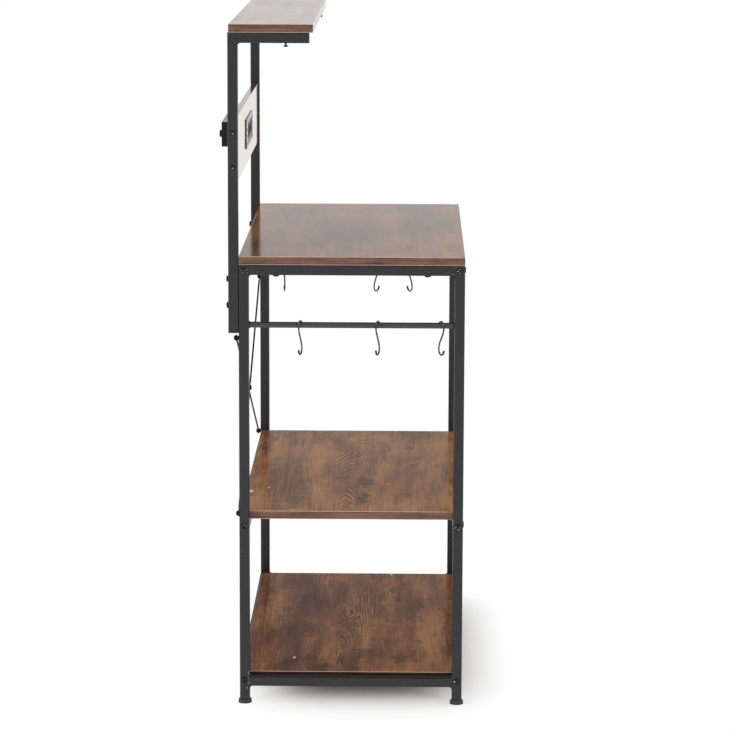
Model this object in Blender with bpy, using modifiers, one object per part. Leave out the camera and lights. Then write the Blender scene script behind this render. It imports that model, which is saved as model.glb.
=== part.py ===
# Kitchen shelving unit: two welded steel end frames joined by long rails, a worktop and two lower
# shelves, a hutch behind the worktop that carries a top shelf and an outlet panel, rails with
# hooks at both ends, a rod cross at the back, and four screw feet. Metres, +Z up, front at -Y.
import bmesh
import bpy
from math import asin, cos, pi, radians, sin
from mathutils import Matrix, Vector

# Overall sizes
UNIT_LENGTH = 0.800
FRAME_DEPTH = 0.400
WORKTOP_HEIGHT = 0.814
HUTCH_RISE = 0.408
MIDDLE_SHELF_HEIGHT = 0.352
BOTTOM_RAIL_HEIGHT = 0.050

# Clearance between pieces that touch
GAP = 0.0003

# Square steel tube
TUBE_SIZE = 0.018
TUBE_WALL = 0.0012
TUBE_CORNER = 0.002
WELD_FILLET = 0.005

# Boards
BOARD_THICKNESS = 0.015
BOARD_EDGE = 0.0008
TOP_SHELF_DEPTH = 0.148
TOP_SHELF_BACK_INSET = 0.0016
TOP_SHELF_OVERHANG = 0.0065
MIDDLE_SHELF_INSET = 0.0015
BOTTOM_SHELF_RISE = 0.0045
BOTTOM_SHELF_END_GAP = 0.004

# Long rails
RAIL_END_WALL = 0.0025
ANGLE_WALL = 0.002

# Round rail and its hooks. Each hook has its share of the frame's depth and its twist in degrees
ROUND_RAIL_DIAMETER = 0.0106
ROUND_RAIL_DROP = 0.123
ROUND_RAIL_BEAD = 0.0022
HOOK_WIRE = 0.003
HOOK_LOOP_RADIUS = 0.0095
HOOK_HEIGHT = 0.063
HOOK_TIP_LIFT = -5.0
HOOK_ENDS = (
    ("left", ((0.272, 165.0), (0.615, 162.0), (0.897, 207.0))),
    ("right", ((0.1225, 5.0), (0.5875, -30.0), (0.755, 30.0))),
)

# Hutch, below the worktop's top
HUTCH_LAP = 0.137
HUTCH_BOLT_DROPS = (0.041, 0.088)

# Outlet panel and its module
PANEL_RISE = 0.127
PANEL_HEIGHT = 0.116
PANEL_THICKNESS = 0.012
PANEL_BOLT_DROP = 0.025
PANEL_BOLT_SPACING = 0.061
MODULE_FROM_LEFT = 0.320
MODULE_LENGTH = 0.211
MODULE_CENTRE_DROP = 0.059
MODULE_CORNER = 0.004
BEZEL_THICKNESS = 0.0015
BEZEL_BORDER = 0.0065
HOUSING_REACH = 0.0331
HOUSING_WALL = 0.002
HOUSING_CORNER = 0.0025
PLATE_RECESS = 0.0008
PLATE_THICKNESS = 0.0025
SOCKET_DIAMETER = 0.0385
SOCKET_DEPTH = 0.0145
SOCKET_CUP_WALL = 0.0012
SOCKET_CLEARANCE = 0.00055
SOCKET_SPACING = 0.0019
SOCKET_COUNT = 3
SOCKETS_FROM_RIGHT = 0.01755
PIN_HOLE_DIAMETER = 0.005
PIN_SPACING = 0.019
PORT_WIDTH = 0.0135
PORT_HEIGHT = 0.0055
PORT_SPACING = 0.007
PORTS_FROM_LEFT = 0.036
GLAND_DIAMETER = 0.0138
GLAND_REACH = 0.0045
GLAND_BORE = 0.0075
GLAND_FROM_LEFT = 0.020

# Rod cross
ROD_DIAMETER = 0.0025
ROD_EYE_DIAMETER = 0.0115
ROD_BOSS_DIAMETER = 0.008
BRACE_TOP_CLEARANCE = 0.00425
BRACE_BOTTOM_DROP = 0.003

# Feet
FOOT_DIAMETER = 0.0248
FOOT_HEIGHT = 0.0073
FOOT_LIP = 0.0022
FOOT_STEM_DIAMETER = 0.006
FOOT_STEM_LENGTH = 0.0225
INSERT_LENGTH = 0.015
INSERT_FLANGE = 0.001

# Bolts: shank diameter, head diameter, head height
FRAME_BOLT = (0.006, 0.0116, 0.0032)
PANEL_BOLT = (0.0042, 0.0086, 0.0026)
BRACE_BOLT = (0.005, 0.0092, 0.003)
CENTRE_BOLT = (0.0042, 0.0092, 0.002)
BOLT_CLEARANCE = 0.0003
BOLT_REACH = 0.004
PANEL_BOLT_REACH = 0.012
BOTTOM_BOLT_DROP = 0.0065
BOARD_SCREW_HOLE = 0.0045
WORKTOP_SCREW_INSET = 0.066
TOP_SCREW_DEPTH = 0.0836

# Facets of round pieces
CURVE_STEPS = 16
HOLE_STEPS = 10
BOLT_STEPS = 10
CUP_STEPS = 24
PIN_STEPS = 8
SMOOTH_ANGLE = 32.0
FLAT_ANGLE = 0.5

# Places that follow from the sizes. A depth is measured from the back of the lower frame to the
# front, and the origin lies under the middle of everything, between the front feet and the gland.
worktop_rail_top = WORKTOP_HEIGHT - BOARD_THICKNESS - GAP
worktop_rail_middle = worktop_rail_top - TUBE_SIZE / 2
middle_rail_top = MIDDLE_SHELF_HEIGHT - BOARD_THICKNESS - GAP
middle_rail_middle = middle_rail_top - TUBE_SIZE / 2
bottom_shelf_top = BOTTOM_RAIL_HEIGHT + BOTTOM_SHELF_RISE
total_height = WORKTOP_HEIGHT + HUTCH_RISE
top_rail_top = total_height - BOARD_THICKNESS - GAP
upright_bottom = FOOT_HEIGHT + INSERT_FLANGE + 2 * GAP
half_length = UNIT_LENGTH / 2
inner_half = half_length - TUBE_SIZE - GAP
hutch_middle = -GAP - TUBE_SIZE / 2
hutch_back = -GAP - TUBE_SIZE
top_shelf_back = hutch_back + TOP_SHELF_BACK_INSET
top_shelf_front = top_shelf_back + TOP_SHELF_DEPTH
top_rail_front = top_shelf_front - TOP_SHELF_OVERHANG
panel_back = hutch_middle - PANEL_THICKNESS / 2
panel_front = hutch_middle + PANEL_THICKNESS / 2
housing_back = panel_back - HOUSING_REACH
rear_most = housing_back - GAP - GLAND_REACH
front_most = FRAME_DEPTH - TUBE_SIZE / 2 + FOOT_DIAMETER / 2
depth_centre = (front_most + rear_most) / 2
rod_middles = (-GAP - ROD_DIAMETER / 2, -2 * GAP - 1.5 * ROD_DIAMETER)
round_rail_height = WORKTOP_HEIGHT - ROUND_RAIL_DROP
hutch_bottom = WORKTOP_HEIGHT - HUTCH_LAP
hutch_bolt_heights = [WORKTOP_HEIGHT - drop for drop in HUTCH_BOLT_DROPS]
brace_top = hutch_bottom - BRACE_TOP_CLEARANCE - ROD_EYE_DIAMETER / 2
brace_bottom = MIDDLE_SHELF_HEIGHT - BRACE_BOTTOM_DROP
bottom_bolt_height = BOTTOM_RAIL_HEIGHT - BOTTOM_BOLT_DROP
panel_top = WORKTOP_HEIGHT + PANEL_RISE + PANEL_HEIGHT
panel_bolt_heights = (panel_top - PANEL_BOLT_DROP, panel_top - PANEL_BOLT_DROP - PANEL_BOLT_SPACING)

# The module is sized by its sockets: their cups fit the bezel's window, and the housing's walls
# stand around the window
cup_diameter = SOCKET_DIAMETER + 2 * SOCKET_CUP_WALL
window_length = MODULE_LENGTH - 2 * BEZEL_BORDER
window_height = cup_diameter + 2 * SOCKET_CLEARANCE
bezel_height = window_height + 2 * BEZEL_BORDER
housing_length = window_length + 2 * HOUSING_WALL
housing_height = window_height + 2 * HOUSING_WALL
module_middle = MODULE_FROM_LEFT + MODULE_LENGTH / 2 - half_length
module_height = panel_top - MODULE_CENTRE_DROP
gland_x = module_middle - housing_length / 2 + GLAND_FROM_LEFT
upright_depths = {"back": TUBE_SIZE / 2, "front": FRAME_DEPTH - TUBE_SIZE / 2}
sides = {"left": -1, "right": 1}


def place(x, depth, z):
    return Vector((x, depth_centre - depth, z))


# Collections and materials
def fresh_scene():
    for old in list(bpy.data.objects):
        bpy.data.objects.remove(old)
    parts = bpy.data.collections.new("kitchen_shelving_unit")
    tools = bpy.data.collections.new("cutters")
    for collection in (parts, tools):
        bpy.context.scene.collection.children.link(collection)
    return parts, tools


def material(name, color, roughness, metallic):
    made = bpy.data.materials.new(name)
    made.use_nodes = True
    shader = made.node_tree.nodes["Principled BSDF"]
    shader.inputs["Base Color"].default_value = (*color, 1.0)
    shader.inputs["Roughness"].default_value = roughness
    shader.inputs["Metallic"].default_value = metallic
    made.diffuse_color = (*color, 1.0)
    return made


parts, tools = fresh_scene()
black_steel = material("black_powder_coated_steel", (0.045, 0.045, 0.048), 0.45, 0.0)
black_zinc = material("black_zinc_bolts", (0.03, 0.03, 0.032), 0.35, 0.9)
hook_steel = material("painted_wire", (0.05, 0.05, 0.05), 0.4, 0.0)
wood = material("brown_wood_laminate", (0.19, 0.11, 0.07), 0.35, 0.0)
black_plastic = material("black_plastic", (0.02, 0.02, 0.02), 0.4, 0.0)
foot_plastic = material("foot_plastic", (0.035, 0.035, 0.036), 0.55, 0.0)


# Meshes
def new_piece(name, mesh, finish, location=(0, 0, 0), rotation=None, smooth=True):
    piece = bpy.data.objects.new(name, mesh)
    parts.objects.link(piece)
    if not mesh.materials:
        mesh.materials.append(finish)
    if smooth:
        mesh.shade_smooth()
        mesh.set_sharp_from_angle(angle=radians(SMOOTH_ANGLE))
    turn = rotation.to_4x4() if rotation else Matrix.Identity(4)
    piece.matrix_world = Matrix.Translation(location) @ turn
    return piece


def mesh_of_bmesh(name, shape):
    mesh = bpy.data.meshes.new(name)
    bmesh.ops.recalc_face_normals(shape, faces=shape.faces)
    shape.to_mesh(mesh)
    shape.free()
    return mesh


def box_mesh(name, low, high):
    shape = bmesh.new()
    size = Vector(high) - Vector(low)
    middle = (Vector(high) + Vector(low)) / 2
    turn = Matrix.Translation(middle) @ Matrix.Diagonal((*size, 1.0))
    bmesh.ops.create_cube(shape, size=1.0, matrix=turn)
    return mesh_of_bmesh(name, shape)


def cylinder_mesh(name, radius, start, end, steps=HOLE_STEPS, end_radius=None):
    shape = bmesh.new()
    along = Vector(end) - Vector(start)
    turn = Vector((0, 0, 1)).rotation_difference(along).to_matrix().to_4x4()
    middle = Matrix.Translation((Vector(start) + Vector(end)) / 2)
    bmesh.ops.create_cone(
        shape,
        cap_ends=True,
        segments=steps,
        radius1=radius,
        radius2=radius if end_radius is None else end_radius,
        depth=along.length,
        matrix=middle @ turn,
    )
    return mesh_of_bmesh(name, shape)


def mesh_from_curve(name, curve, turn):
    # The evaluated curve becomes a mesh whose loose caps are welded to its walls and left whole
    holder = bpy.data.objects.new(name, curve)
    tools.objects.link(holder)
    bpy.context.view_layer.update()
    graph = bpy.context.evaluated_depsgraph_get()
    mesh = bpy.data.meshes.new_from_object(holder.evaluated_get(graph))
    bpy.data.objects.remove(holder)
    shape = bmesh.new()
    shape.from_mesh(mesh)
    bmesh.ops.remove_doubles(shape, verts=shape.verts, dist=0.00001)
    bmesh.ops.dissolve_limit(
        shape,
        angle_limit=radians(FLAT_ANGLE),
        verts=shape.verts,
        edges=shape.edges,
    )
    bmesh.ops.recalc_face_normals(shape, faces=shape.faces)
    shape.to_mesh(mesh)
    shape.free()
    mesh.transform(turn)
    mesh.materials.clear()
    return mesh


def outline_mesh(name, outline, thickness, turn):
    # A closed flat outline, filled and extruded to both sides of its plane
    curve = bpy.data.curves.new(name, "CURVE")
    curve.dimensions = "2D"
    curve.fill_mode = "BOTH"
    curve.extrude = thickness / 2
    spline = curve.splines.new("POLY")
    spline.points.add(len(outline) - 1)
    for point, (x, y) in zip(spline.points, outline):
        point.co = (x, y, 0, 1)
    spline.use_cyclic_u = True
    return mesh_from_curve(name, curve, turn)


def rounded_outline(width, height, radius, steps=2):
    corners = ((1, 1, 0), (-1, 1, 90), (-1, -1, 180), (1, -1, 270))
    outline = []
    for side_x, side_y, first in corners:
        middle_x = side_x * (width / 2 - radius)
        middle_y = side_y * (height / 2 - radius)
        for step in range(steps + 1):
            angle = radians(first + 90 * step / steps)
            outline.append((middle_x + radius * cos(angle), middle_y + radius * sin(angle)))
    return outline


def bar_mesh(name, size, radius, start, end):
    # A solid square bar with rounded edges between two points on one of the main axes
    along = Vector(end) - Vector(start)
    turn = Vector((0, 0, 1)).rotation_difference(along).to_matrix().to_4x4()
    middle = Matrix.Translation((Vector(start) + Vector(end)) / 2)
    outline = rounded_outline(size, size, radius)
    return outline_mesh(name, outline, along.length, middle @ turn)


def bore_mesh(name, start, end):
    inner = TUBE_SIZE - 2 * TUBE_WALL
    along = Vector(end) - Vector(start)
    turn = Vector((0, 0, 1)).rotation_difference(along).to_matrix().to_4x4()
    middle = Matrix.Translation((Vector(start) + Vector(end)) / 2)
    outline = rounded_outline(inner, inner, TUBE_CORNER - TUBE_WALL, 1)
    return outline_mesh(name, outline, along.length, middle @ turn)


# An outline of depth and height that is extruded along the length
across_length = Matrix(((0, 0, 1, 0), (-1, 0, 0, 0), (0, 1, 0, 0), (0, 0, 0, 1)))


def fillet_mesh(name, corner, toward_depth, toward_z, across):
    # A small weld in an inner corner: two straight legs and a hollow arc, as wide as the tube face
    leg = WELD_FILLET
    sunk = TUBE_WALL / 2
    points = [(-sunk, -sunk), (leg, -sunk), (leg, 0)]
    steps = 4
    for step in range(1, steps):
        angle = radians(270 - 90 * step / steps)
        points.append((leg + leg * cos(angle), leg + leg * sin(angle)))
    points += [(0, leg), (-sunk, leg)]
    outline = [(corner[1] + toward_depth * u, corner[2] + toward_z * v) for u, v in points]
    turn = Matrix.Translation((corner[0], depth_centre, 0)) @ across_length
    return outline_mesh(name, outline, across, turn)


def joined_mesh(name, meshes):
    # Separate bodies in one mesh, for a cutter with several holes
    shape = bmesh.new()
    for mesh in meshes:
        shape.from_mesh(mesh)
    mesh = bpy.data.meshes.new(name)
    shape.to_mesh(mesh)
    shape.free()
    return mesh


def boolean(target, mesh, operation):
    # Joins or cuts a mesh in world coordinates with the piece, and keeps the result as its mesh
    tool = bpy.data.objects.new(f"{target.name}_{operation.lower()}", mesh)
    tool.hide_render = True
    tool.display_type = "WIRE"
    tools.objects.link(tool)
    modifier = target.modifiers.new("joint_or_cut", "BOOLEAN")
    modifier.operation = operation
    modifier.solver = "EXACT"
    modifier.object = tool
    bpy.context.view_layer.update()
    graph = bpy.context.evaluated_depsgraph_get()
    result = bpy.data.meshes.new_from_object(target.evaluated_get(graph))
    target.modifiers.clear()
    target.data = result
    bpy.data.objects.remove(tool)


def add_bevel(piece, width, segments=2):
    bevel = piece.modifiers.new("edges", "BEVEL")
    bevel.width = width
    bevel.segments = segments
    bevel.limit_method = "ANGLE"
    bevel.angle_limit = radians(SMOOTH_ANGLE)


def sharpen(piece):
    piece.data.shade_smooth()
    piece.data.set_sharp_from_angle(angle=radians(SMOOTH_ANGLE))


def turned_mesh(name, profile, steps, socket=None):
    # A profile of radius and height, top to bottom, turned about the vertical axis
    flat = bpy.data.meshes.new(name)
    shape = bmesh.new()
    points = [shape.verts.new((radius, 0, height)) for radius, height in profile]
    for first, second in zip(points, points[1:]):
        shape.edges.new((first, second))
    shape.to_mesh(flat)
    shape.free()
    holder = bpy.data.objects.new(name, flat)
    tools.objects.link(holder)
    screw = holder.modifiers.new("turn", "SCREW")
    screw.steps = steps
    screw.render_steps = steps
    screw.use_merge_vertices = True
    screw.merge_threshold = 0.00001
    if socket:
        hexagon, depth, top = socket
        tool = bpy.data.objects.new(
            name + "_socket",
            cylinder_mesh(name + "_socket", hexagon, (0, 0, top - depth), (0, 0, top + depth), 6),
        )
        tool.hide_render = True
        tool.display_type = "WIRE"
        tools.objects.link(tool)
        cut = holder.modifiers.new("socket", "BOOLEAN")
        cut.operation = "DIFFERENCE"
        cut.object = tool
    bpy.context.view_layer.update()
    graph = bpy.context.evaluated_depsgraph_get()
    mesh = bpy.data.meshes.new_from_object(holder.evaluated_get(graph))
    bpy.data.objects.remove(holder)
    if socket:
        bpy.data.objects.remove(tool)
    return mesh


def bolt_mesh(name, sizes, reach):
    # Domed head above zero with a hexagon socket, and a shank that runs down from the head
    shank, head, height = sizes
    profile = [
        (0, height),
        (head * 0.33, height),
        (head * 0.47, height * 0.62),
        (head * 0.5, 0),
        (shank / 2, 0),
        (shank / 2, -reach),
        (0, -reach),
    ]
    return turned_mesh(name, profile, BOLT_STEPS, (head * 0.21, height * 0.62, height))


toward = {
    "-x": Matrix.Rotation(radians(-90), 3, "Y"),
    "+x": Matrix.Rotation(radians(90), 3, "Y"),
    "back": Matrix.Rotation(radians(-90), 3, "X"),
    "front": Matrix.Rotation(radians(90), 3, "X"),
}


# End frames
def holes_through_x(x, depth, heights, hole):
    return [
        cylinder_mesh("hole", hole / 2, place(x - TUBE_SIZE, depth, z), place(x + TUBE_SIZE, depth, z))
        for z in heights
    ]


def holes_from_behind(x, heights, hole):
    return [
        cylinder_mesh("hole", hole / 2, place(x, -TUBE_SIZE, z), place(x, TUBE_SIZE / 2, z))
        for z in heights
    ]


def screw_hole(x, depth, rail_middle):
    low, high = place(x, depth, rail_middle - TUBE_SIZE), place(x, depth, rail_middle + TUBE_SIZE)
    return cylinder_mesh("hole", BOARD_SCREW_HOLE / 2, low, high)


def end_frame(side):
    x = sides[side] * (half_length - TUBE_SIZE / 2)
    back, front = upright_depths["back"], upright_depths["front"]
    inset = TUBE_SIZE - TUBE_WALL / 2
    rail_heights = (worktop_rail_middle, BOTTOM_RAIL_HEIGHT - TUBE_SIZE / 2)

    def upright(depth):
        low, high = place(x, depth, upright_bottom), place(x, depth, worktop_rail_top)
        return bar_mesh("upright", TUBE_SIZE, TUBE_CORNER, low, high)

    frame = new_piece(f"{side}_end_frame", upright(back), black_steel)
    solids = [upright(front)]
    for z in rail_heights:
        start, end = place(x, inset, z), place(x, FRAME_DEPTH - inset, z)
        solids.append(bar_mesh("rail", TUBE_SIZE, TUBE_CORNER, start, end))
    start, end = place(x, inset, round_rail_height), place(x, FRAME_DEPTH - inset, round_rail_height)
    solids.append(cylinder_mesh("round_rail", ROUND_RAIL_DIAMETER / 2, start, end, CURVE_STEPS))
    for mesh in solids:
        boolean(frame, mesh, "UNION")

    # Welds: fillets under the worktop rail and on both sides of the bottom rail, beads at the bar
    welds = []
    for depth, inward in ((TUBE_SIZE, 1), (FRAME_DEPTH - TUBE_SIZE, -1)):
        for z, up in (
            (worktop_rail_middle - TUBE_SIZE / 2, -1),
            (BOTTOM_RAIL_HEIGHT, 1),
            (BOTTOM_RAIL_HEIGHT - TUBE_SIZE, -1),
        ):
            welds.append(fillet_mesh("weld", (x, depth, z), inward, up, TUBE_SIZE - 2 * TUBE_CORNER))
        welds.append(
            cylinder_mesh(
                "bead",
                ROUND_RAIL_DIAMETER / 2 + ROUND_RAIL_BEAD,
                place(x, depth - inward * TUBE_WALL / 2, round_rail_height),
                place(x, depth + inward * ROUND_RAIL_BEAD, round_rail_height),
                CURVE_STEPS,
                ROUND_RAIL_DIAMETER / 2 + ROUND_RAIL_BEAD / 4,
            )
        )
    boolean(frame, joined_mesh("welds", welds), "UNION")

    # Bores of the tubes: the side rails open into the uprights
    for depth in (back, front):
        boolean(frame, bore_mesh("bore", place(x, depth, 0), place(x, depth, WORKTOP_HEIGHT)), "DIFFERENCE")
    for z in rail_heights:
        boolean(frame, bore_mesh("bore", place(x, back, z), place(x, front, z)), "DIFFERENCE")

    # Holes for the long rails' bolts, the hutch's bolts, the rods' bolts and the board screws
    hole = FRAME_BOLT[0] + 2 * BOLT_CLEARANCE
    heights = (worktop_rail_middle, middle_rail_middle, bottom_bolt_height)
    holes = []
    for depth in (back, front):
        holes += holes_through_x(x, depth, heights, hole)
    holes += holes_from_behind(x, hutch_bolt_heights, hole)
    holes += holes_from_behind(x, (brace_top, brace_bottom), BRACE_BOLT[0] + 2 * BOLT_CLEARANCE)
    for depth in (WORKTOP_SCREW_INSET, FRAME_DEPTH - WORKTOP_SCREW_INSET):
        holes.append(screw_hole(x, depth, worktop_rail_middle))
    boolean(frame, joined_mesh("holes", holes), "DIFFERENCE")
    sharpen(frame)


# Hutch frames
def hutch_frame(side):
    x = sides[side] * (half_length - TUBE_SIZE / 2)
    rail_middle = top_rail_top - TUBE_SIZE / 2
    low, high = place(x, hutch_middle, hutch_bottom), place(x, hutch_middle, top_rail_top)
    upright = bar_mesh("upright", TUBE_SIZE, TUBE_CORNER, low, high)
    frame = new_piece(f"{side}_hutch_frame", upright, black_steel)
    start, end = place(x, -GAP - TUBE_WALL / 2, rail_middle), place(x, top_rail_front, rail_middle)
    boolean(frame, bar_mesh("rail", TUBE_SIZE, TUBE_CORNER, start, end), "UNION")
    corner = (x, -GAP, top_rail_top - TUBE_SIZE)
    boolean(frame, fillet_mesh("weld", corner, 1, -1, TUBE_SIZE - 2 * TUBE_CORNER), "UNION")
    low, high = place(x, hutch_middle, hutch_bottom - TUBE_SIZE), place(x, hutch_middle, total_height)
    boolean(frame, bore_mesh("bore", low, high), "DIFFERENCE")
    start, end = place(x, hutch_middle, rail_middle), place(x, top_rail_front - TUBE_WALL, rail_middle)
    boolean(frame, bore_mesh("bore", start, end), "DIFFERENCE")

    hole = FRAME_BOLT[0] + 2 * BOLT_CLEARANCE
    holes = []
    for z in hutch_bolt_heights:
        start, end = place(x, hutch_middle - TUBE_SIZE, z), place(x, hutch_middle + TUBE_SIZE, z)
        holes.append(cylinder_mesh("hole", hole / 2, start, end))
    holes += holes_through_x(x, hutch_middle, panel_bolt_heights, PANEL_BOLT[0] + 2 * BOLT_CLEARANCE)
    holes.append(screw_hole(x, TOP_SCREW_DEPTH, rail_middle))
    boolean(frame, joined_mesh("holes", holes), "DIFFERENCE")
    sharpen(frame)


# Boards
def board(name, half, back, front, top):
    middle = place(0, (back + front) / 2, top - BOARD_THICKNESS / 2)
    size = Vector((half, (front - back) / 2, BOARD_THICKNESS / 2))
    piece = new_piece(name, box_mesh(name, -size, size), wood, middle)
    add_bevel(piece, BOARD_EDGE)


# Long rails
def long_tube(name, depth, z):
    start, end = place(-inner_half, depth, z), place(inner_half, depth, z)
    rail = new_piece(name, bar_mesh(name, TUBE_SIZE, TUBE_CORNER, start, end), black_steel)
    wall = Vector((RAIL_END_WALL, 0, 0))
    boolean(rail, bore_mesh("bore", start + wall, end - wall), "DIFFERENCE")
    hole = FRAME_BOLT[0] / 2 + BOLT_CLEARANCE
    ends = [
        cylinder_mesh("hole", hole, start - wall, start + 2 * wall),
        cylinder_mesh("hole", hole, end - 2 * wall, end + wall),
    ]
    boolean(rail, joined_mesh("holes", ends), "DIFFERENCE")
    sharpen(rail)


def long_angle(name, edge_depth, inward):
    # An angle whose upright leg covers the board's edge, with a bolted tab at each end
    low = bottom_shelf_top - BOARD_THICKNESS - GAP - ANGLE_WALL
    rise = bottom_shelf_top - low
    outline = [
        (0, 0),
        (TUBE_SIZE, 0),
        (TUBE_SIZE, ANGLE_WALL),
        (ANGLE_WALL, ANGLE_WALL),
        (ANGLE_WALL, rise),
        (0, rise),
    ]
    outline = [(edge_depth + inward * u, low + v) for u, v in outline]
    turn = Matrix.Translation((0, depth_centre, 0)) @ across_length
    rail = new_piece(name, outline_mesh(name, outline, 2 * inner_half, turn), black_steel, smooth=False)
    hole = FRAME_BOLT[0] / 2 + BOLT_CLEARANCE
    bolt_depth = edge_depth + inward * TUBE_SIZE / 2
    for sign in (-1, 1):
        ends = sorted((sign * inner_half, sign * (inner_half - RAIL_END_WALL)))
        depths = sorted((edge_depth, edge_depth + inward * TUBE_SIZE), reverse=True)
        tab = box_mesh("tab", place(ends[0], depths[0], low), place(ends[1], depths[1], bottom_shelf_top))
        boolean(rail, tab, "UNION")
        start = place(ends[0] - RAIL_END_WALL, bolt_depth, bottom_bolt_height)
        end = place(ends[1] + RAIL_END_WALL, bolt_depth, bottom_bolt_height)
        boolean(rail, cylinder_mesh("hole", hole, start, end), "DIFFERENCE")


# Outlet panel and its module
facing = Matrix(((1, 0, 0, 0), (0, 0, -1, 0), (0, 1, 0, 0), (0, 0, 0, 1)))


def module_block(name, width, height, radius, back, front, steps=3):
    # A rounded rectangle about the module's middle, seen from the front, between two depths
    middle = Matrix.Translation(place(module_middle, (back + front) / 2, module_height))
    return outline_mesh(name, rounded_outline(width, height, radius, steps), front - back, middle @ facing)


def outlet_panel():
    name = "outlet_panel"
    low = place(-inner_half, panel_front, panel_top - PANEL_HEIGHT)
    high = place(inner_half, panel_back, panel_top)
    piece = new_piece(name, box_mesh(name, low, high), wood)
    add_bevel(piece, BOARD_EDGE)
    width, height = housing_length + 2 * GAP, housing_height + 2 * GAP
    back, front = panel_back - PANEL_THICKNESS, panel_front + PANEL_THICKNESS
    opening = module_block("opening", width, height, HOUSING_CORNER + GAP, back, front)
    boolean(piece, opening, "DIFFERENCE")
    hole = PANEL_BOLT[0] / 2 + BOLT_CLEARANCE
    reach = PANEL_BOLT_REACH + 2 * GAP
    holes = []
    for sign in sides.values():
        for z in panel_bolt_heights:
            outer = place(sign * (inner_half + reach), hutch_middle, z)
            inner = place(sign * (inner_half - reach), hutch_middle, z)
            holes.append(cylinder_mesh("hole", hole, outer, inner))
    boolean(piece, joined_mesh("holes", holes), "DIFFERENCE")
    sharpen(piece)


def power_bezel():
    name = "power_bezel"
    back = panel_front + GAP
    front = back + BEZEL_THICKNESS
    outer = module_block(name, MODULE_LENGTH, bezel_height, MODULE_CORNER, back, front)
    piece = new_piece(name, outer, black_plastic)
    back, front = back - BEZEL_THICKNESS, front + BEZEL_THICKNESS
    window = module_block("window", window_length, window_height, MODULE_CORNER / 2, back, front)
    boolean(piece, window, "DIFFERENCE")
    sharpen(piece)


def socket_plate():
    # The moulded face: a plate in the bezel's window with round socket cups and two flat ports
    name = "socket_plate"
    front = panel_front + GAP + BEZEL_THICKNESS - PLATE_RECESS
    back = front - PLATE_THICKNESS
    floor = front - SOCKET_DEPTH
    width, height = window_length - 2 * GAP, window_height - 2 * GAP
    plate = module_block(name, width, height, MODULE_CORNER / 2 - GAP, back, front)
    piece = new_piece(name, plate, black_plastic)
    first = module_middle + window_length / 2 - SOCKETS_FROM_RIGHT - cup_diameter / 2
    centres = [first - index * (cup_diameter + SOCKET_SPACING) for index in range(SOCKET_COUNT)]
    cups, cuts, pin_holes = [], [], []
    for x in centres:
        rear = place(x, floor - SOCKET_CUP_WALL, module_height)
        seat = place(x, back + PLATE_THICKNESS / 2, module_height)
        cups.append(cylinder_mesh("cup", cup_diameter / 2, rear, seat, CUP_STEPS))
        rear, mouth = place(x, floor, module_height), place(x, front + PLATE_THICKNESS, module_height)
        cuts.append(cylinder_mesh("recess", SOCKET_DIAMETER / 2, rear, mouth, CUP_STEPS))
        for side in (-1, 1):
            pin = x + side * PIN_SPACING / 2
            rear = place(pin, floor - 2 * SOCKET_CUP_WALL, module_height)
            mouth = place(pin, floor + SOCKET_CUP_WALL, module_height)
            pin_holes.append(cylinder_mesh("pin_hole", PIN_HOLE_DIAMETER / 2, rear, mouth, PIN_STEPS))
    left = module_middle - MODULE_LENGTH / 2 + PORTS_FROM_LEFT
    for side in (-1, 1):
        z = module_height + side * (PORT_HEIGHT + PORT_SPACING) / 2
        low = place(left - PORT_WIDTH / 2, front + PLATE_THICKNESS, z - PORT_HEIGHT / 2)
        high = place(left + PORT_WIDTH / 2, back - PLATE_THICKNESS, z + PORT_HEIGHT / 2)
        cuts.append(box_mesh("port", low, high))
    boolean(piece, joined_mesh("cups", cups), "UNION")
    boolean(piece, joined_mesh("cuts", cuts), "DIFFERENCE")
    boolean(piece, joined_mesh("pin_holes", pin_holes), "DIFFERENCE")
    sharpen(piece)


def power_housing():
    # A moulded box behind the panel, open to the front, with a hole for the gland
    name = "power_housing"
    outer = module_block(name, housing_length, housing_height, HOUSING_CORNER, housing_back, panel_front)
    piece = new_piece(name, outer, black_plastic)
    back, front = housing_back + HOUSING_WALL, panel_front + HOUSING_WALL
    inside = module_block("inside", window_length, window_height, HOUSING_CORNER / 2, back, front)
    boolean(piece, inside, "DIFFERENCE")
    gland = place(gland_x, housing_back, module_height)
    through = Vector((0, 2 * HOUSING_WALL, 0))
    hole = cylinder_mesh("gland_hole", GLAND_BORE / 2, gland - through, gland + through)
    boolean(piece, hole, "DIFFERENCE")
    sharpen(piece)


def cord_gland():
    # A stepped round inlet with an open bore, seated on the back of the housing
    name = "cord_gland"
    radius, bore = GLAND_DIAMETER / 2, GLAND_BORE / 2
    profile = [
        (bore, GLAND_REACH),
        (radius * 0.82, GLAND_REACH),
        (radius * 0.94, GLAND_REACH * 0.8),
        (radius, GLAND_REACH * 0.45),
        (radius, 0),
        (bore, 0),
        (bore, GLAND_REACH),
    ]
    mesh = turned_mesh(name, profile, CURVE_STEPS)
    middle = place(gland_x, housing_back - GAP, module_height)
    new_piece(name, mesh, black_plastic, middle, toward["back"])


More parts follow.
